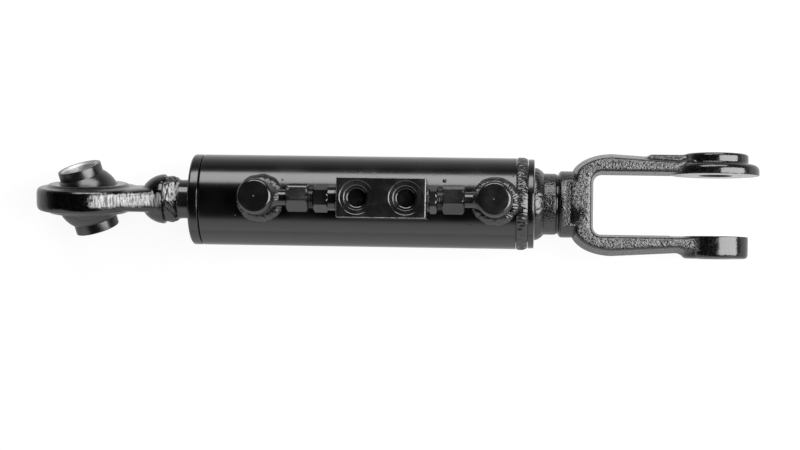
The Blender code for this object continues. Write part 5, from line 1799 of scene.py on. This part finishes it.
@dataclass
class Studio:
    """A white floor in a dark room with a pale near wall, softboxes beyond and beside the link, and the camera."""

    camera_at: Triple = (0.10209, -0.0692, 1.49369)
    yaw: float = math.radians(3.8243)
    pitch: float = math.radians(2.0249)
    roll: float = math.radians(0.9807)
    focal: float = 84.884
    floor_half: float = 6.0
    floor_colour: float = 0.08
    floor_glow: float = 0.89
    table: float = 0.9
    table_middle: Triple = (0.0, -0.6, 0.0)
    glow_across: tuple[tuple[float, float], ...] = (
        (-0.30, 1.3), (-0.20, 1.25), (-0.108, 0.95), (-0.07, 0.62), (0.0, 0.7), (0.05, 0.95), (0.093, 0.88),
        (0.157, 0.47), (0.34, 0.18),
    )
    wall: float = 1.62
    wall_side: tuple[float, float] = (-0.30, -0.55)
    wall_top: tuple[float, float] = (0.69, 0.49)
    horizon: float = 0.14
    ceiling: float = 0.006

    def build(self) -> None:
        """Sets up the floor, lights, world, view and camera."""
        self.build_floor()
        self.softbox("key_softbox", Y_AXIS, 55.5, 1.5, (1.5, 0.80), 8.5)
        self.softbox("side_softbox", X_AXIS, 46.0, 1.5, (1.0, 1.7), 11.5)
        self.build_world()
        self.build_camera()
        bpy.context.scene.view_settings.view_transform = "Standard"

    def build_floor(self) -> None:
        """The floor, whose glow makes it white under a soft shadow.

        In reflections it is shaded beside the link and on the far side, and fades past the table.
        """
        size = self.floor_half
        mesh = bpy.data.meshes.new("studio_floor")
        corners = np.array([(-1, -1, 0), (1, -1, 0), (1, 1, 0), (-1, 1, 0)]) * size - (0, 0, 0.0004)
        mesh.from_pydata(corners, [], [(0, 1, 2, 3)])
        floor = placed("studio_floor", mesh)
        material, graph = new_material("floor_white")
        path = {name: graph.node("ShaderNodeLightPath", {}, {}, name)
                for name in ("Is Camera Ray", "Is Glossy Ray", "Is Transmission Ray")}
        where = graph.place(self.table_middle)
        away = graph.vector("LENGTH", where)
        stops = [(y + 0.5, (level,) * 3) for y, level in self.glow_across]
        beside = graph.ramp(graph.axis(graph.place(), "Y") + 0.5, stops)
        mirrored = (path["Is Glossy Ray"] + path["Is Transmission Ray"]) * (
            away.between(self.table * 2, self.table) * 0.8 + 0.2
        ) * beside
        seen = path["Is Camera Ray"] + mirrored
        shade = (*(self.floor_colour,) * 3, 1.0)
        diffuse = graph.node("ShaderNodeBsdfDiffuse", {}, {"Color": shade}, "BSDF")
        glow = graph.node("ShaderNodeEmission", {}, {"Strength": seen * self.floor_glow}, "Emission")
        both = graph.node("ShaderNodeAddShader", {}, {0: diffuse, 1: glow}, "Shader")
        graph.node("ShaderNodeOutputMaterial", {}, {"Surface": both})
        mesh.materials.append(material)

    def softbox(
        self, name: str, towards: Sequence[float], tilt: float, distance: float, size: tuple[float, float],
        radiance: float,
    ) -> None:
        """A lamp that faces the link.

        Args:
            name: the lamp.
            towards: the level direction it stands in.
            tilt: its angle from straight above, in degrees.
            distance: how far away it is.
            size: its length across that direction and its width.
            radiance: its brightness, where a white sheet's is 1.
        """
        lamp = bpy.data.lights.new(name, "AREA")
        lamp.shape = "RECTANGLE"
        lamp.size, lamp.size_y = size
        lamp.energy = radiance * math.pi * size[0] * size[1]
        obj = placed(name, lamp)
        angle = math.radians(tilt)
        back = Vector(towards) * math.sin(angle) + Vector(Z_AXIS) * math.cos(angle)
        right = Vector(towards).cross(Vector(Z_AXIS))
        turn = Matrix((right, back.cross(right), back)).transposed().to_4x4()
        obj.matrix_world = Matrix.Translation(back * distance) @ turn
        obj.visible_camera = False

    def build_world(self) -> None:
        """A dark room with a pale wall on the near side, which ends 61 to 46 degrees from straight above."""
        world = bpy.data.worlds.new("studio")
        world.use_nodes = True
        graph = Graph(world.node_tree)
        where = graph.node("ShaderNodeTexCoord", {}, {}, "Generated")
        up = graph.axis(where, "Z")
        near = graph.axis(where, "Y").between(*self.wall_side) * up.between(*self.wall_top) * self.wall
        seen = graph.node("ShaderNodeLightPath", {}, {}, "Is Camera Ray")
        level = (near + up.between(0.45, 0.0) * self.horizon + self.ceiling) * (1 - seen) + seen
        back = graph.node("ShaderNodeBackground", {}, {"Color": (1, 1, 1, 1), "Strength": level}, "Background")
        graph.node("ShaderNodeOutputWorld", {}, {"Surface": back})
        bpy.context.scene.world = world

    def build_camera(self) -> None:
        """The camera, above the link and looking down, turned by yaw about Y, pitch about X and roll."""
        data = bpy.data.cameras.new("camera")
        data.lens = self.focal
        data.sensor_width = 36.0
        data.clip_start = 0.01
        camera = placed("camera", data)
        turn = (Matrix.Rotation(self.yaw, 4, "Y") @ Matrix.Rotation(self.pitch, 4, "X")
                @ Matrix.Rotation(self.roll, 4, "Z"))
        camera.matrix_world = Matrix.Translation(Vector(self.camera_at)) @ turn
        bpy.context.scene.camera = camera


def corners(bounds: tuple[Vector, Vector]) -> list[list[float]]:
    """Two corners as plain lists."""
    return [[float(value) for value in corner] for corner in bounds]


def main() -> None:
    """Builds the dressed link, the studio and the camera."""
    logging.basicConfig(level=logging.INFO, format="%(message)s")
    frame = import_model()
    rod_low, rod_high = span("rod")
    line_low, line_high = span("pipe_left")
    axis_height = float(rod_low[2] + rod_high[2]) / 2
    ball_x = float(span("rod_eye")[0][0]) + RodEnd.eye_radius
    pin_x = float(span("fork")[1][0]) - Fork.flange_radius
    ball = (ball_x, 0.0, axis_height)
    finishes = build_finishes(float(span("gland")[0][0]), ball, RodEnd.eye_axis, span("valve_block"))
    shop = Workshop(finishes)
    Cylinder(shop, axis_height).build()
    RodEnd(shop, axis_height, ball_x).build()
    Fork(shop, axis_height, float(span("end_cap")[1][0]), pin_x).build()
    line_height = float(line_low[2] + line_high[2]) / 2
    OilLine(shop, axis_height, line_height).build()
    InnerWorks(shop, line_height).build(frame)
    Studio().build()


if __name__ == "__main__":
    main()
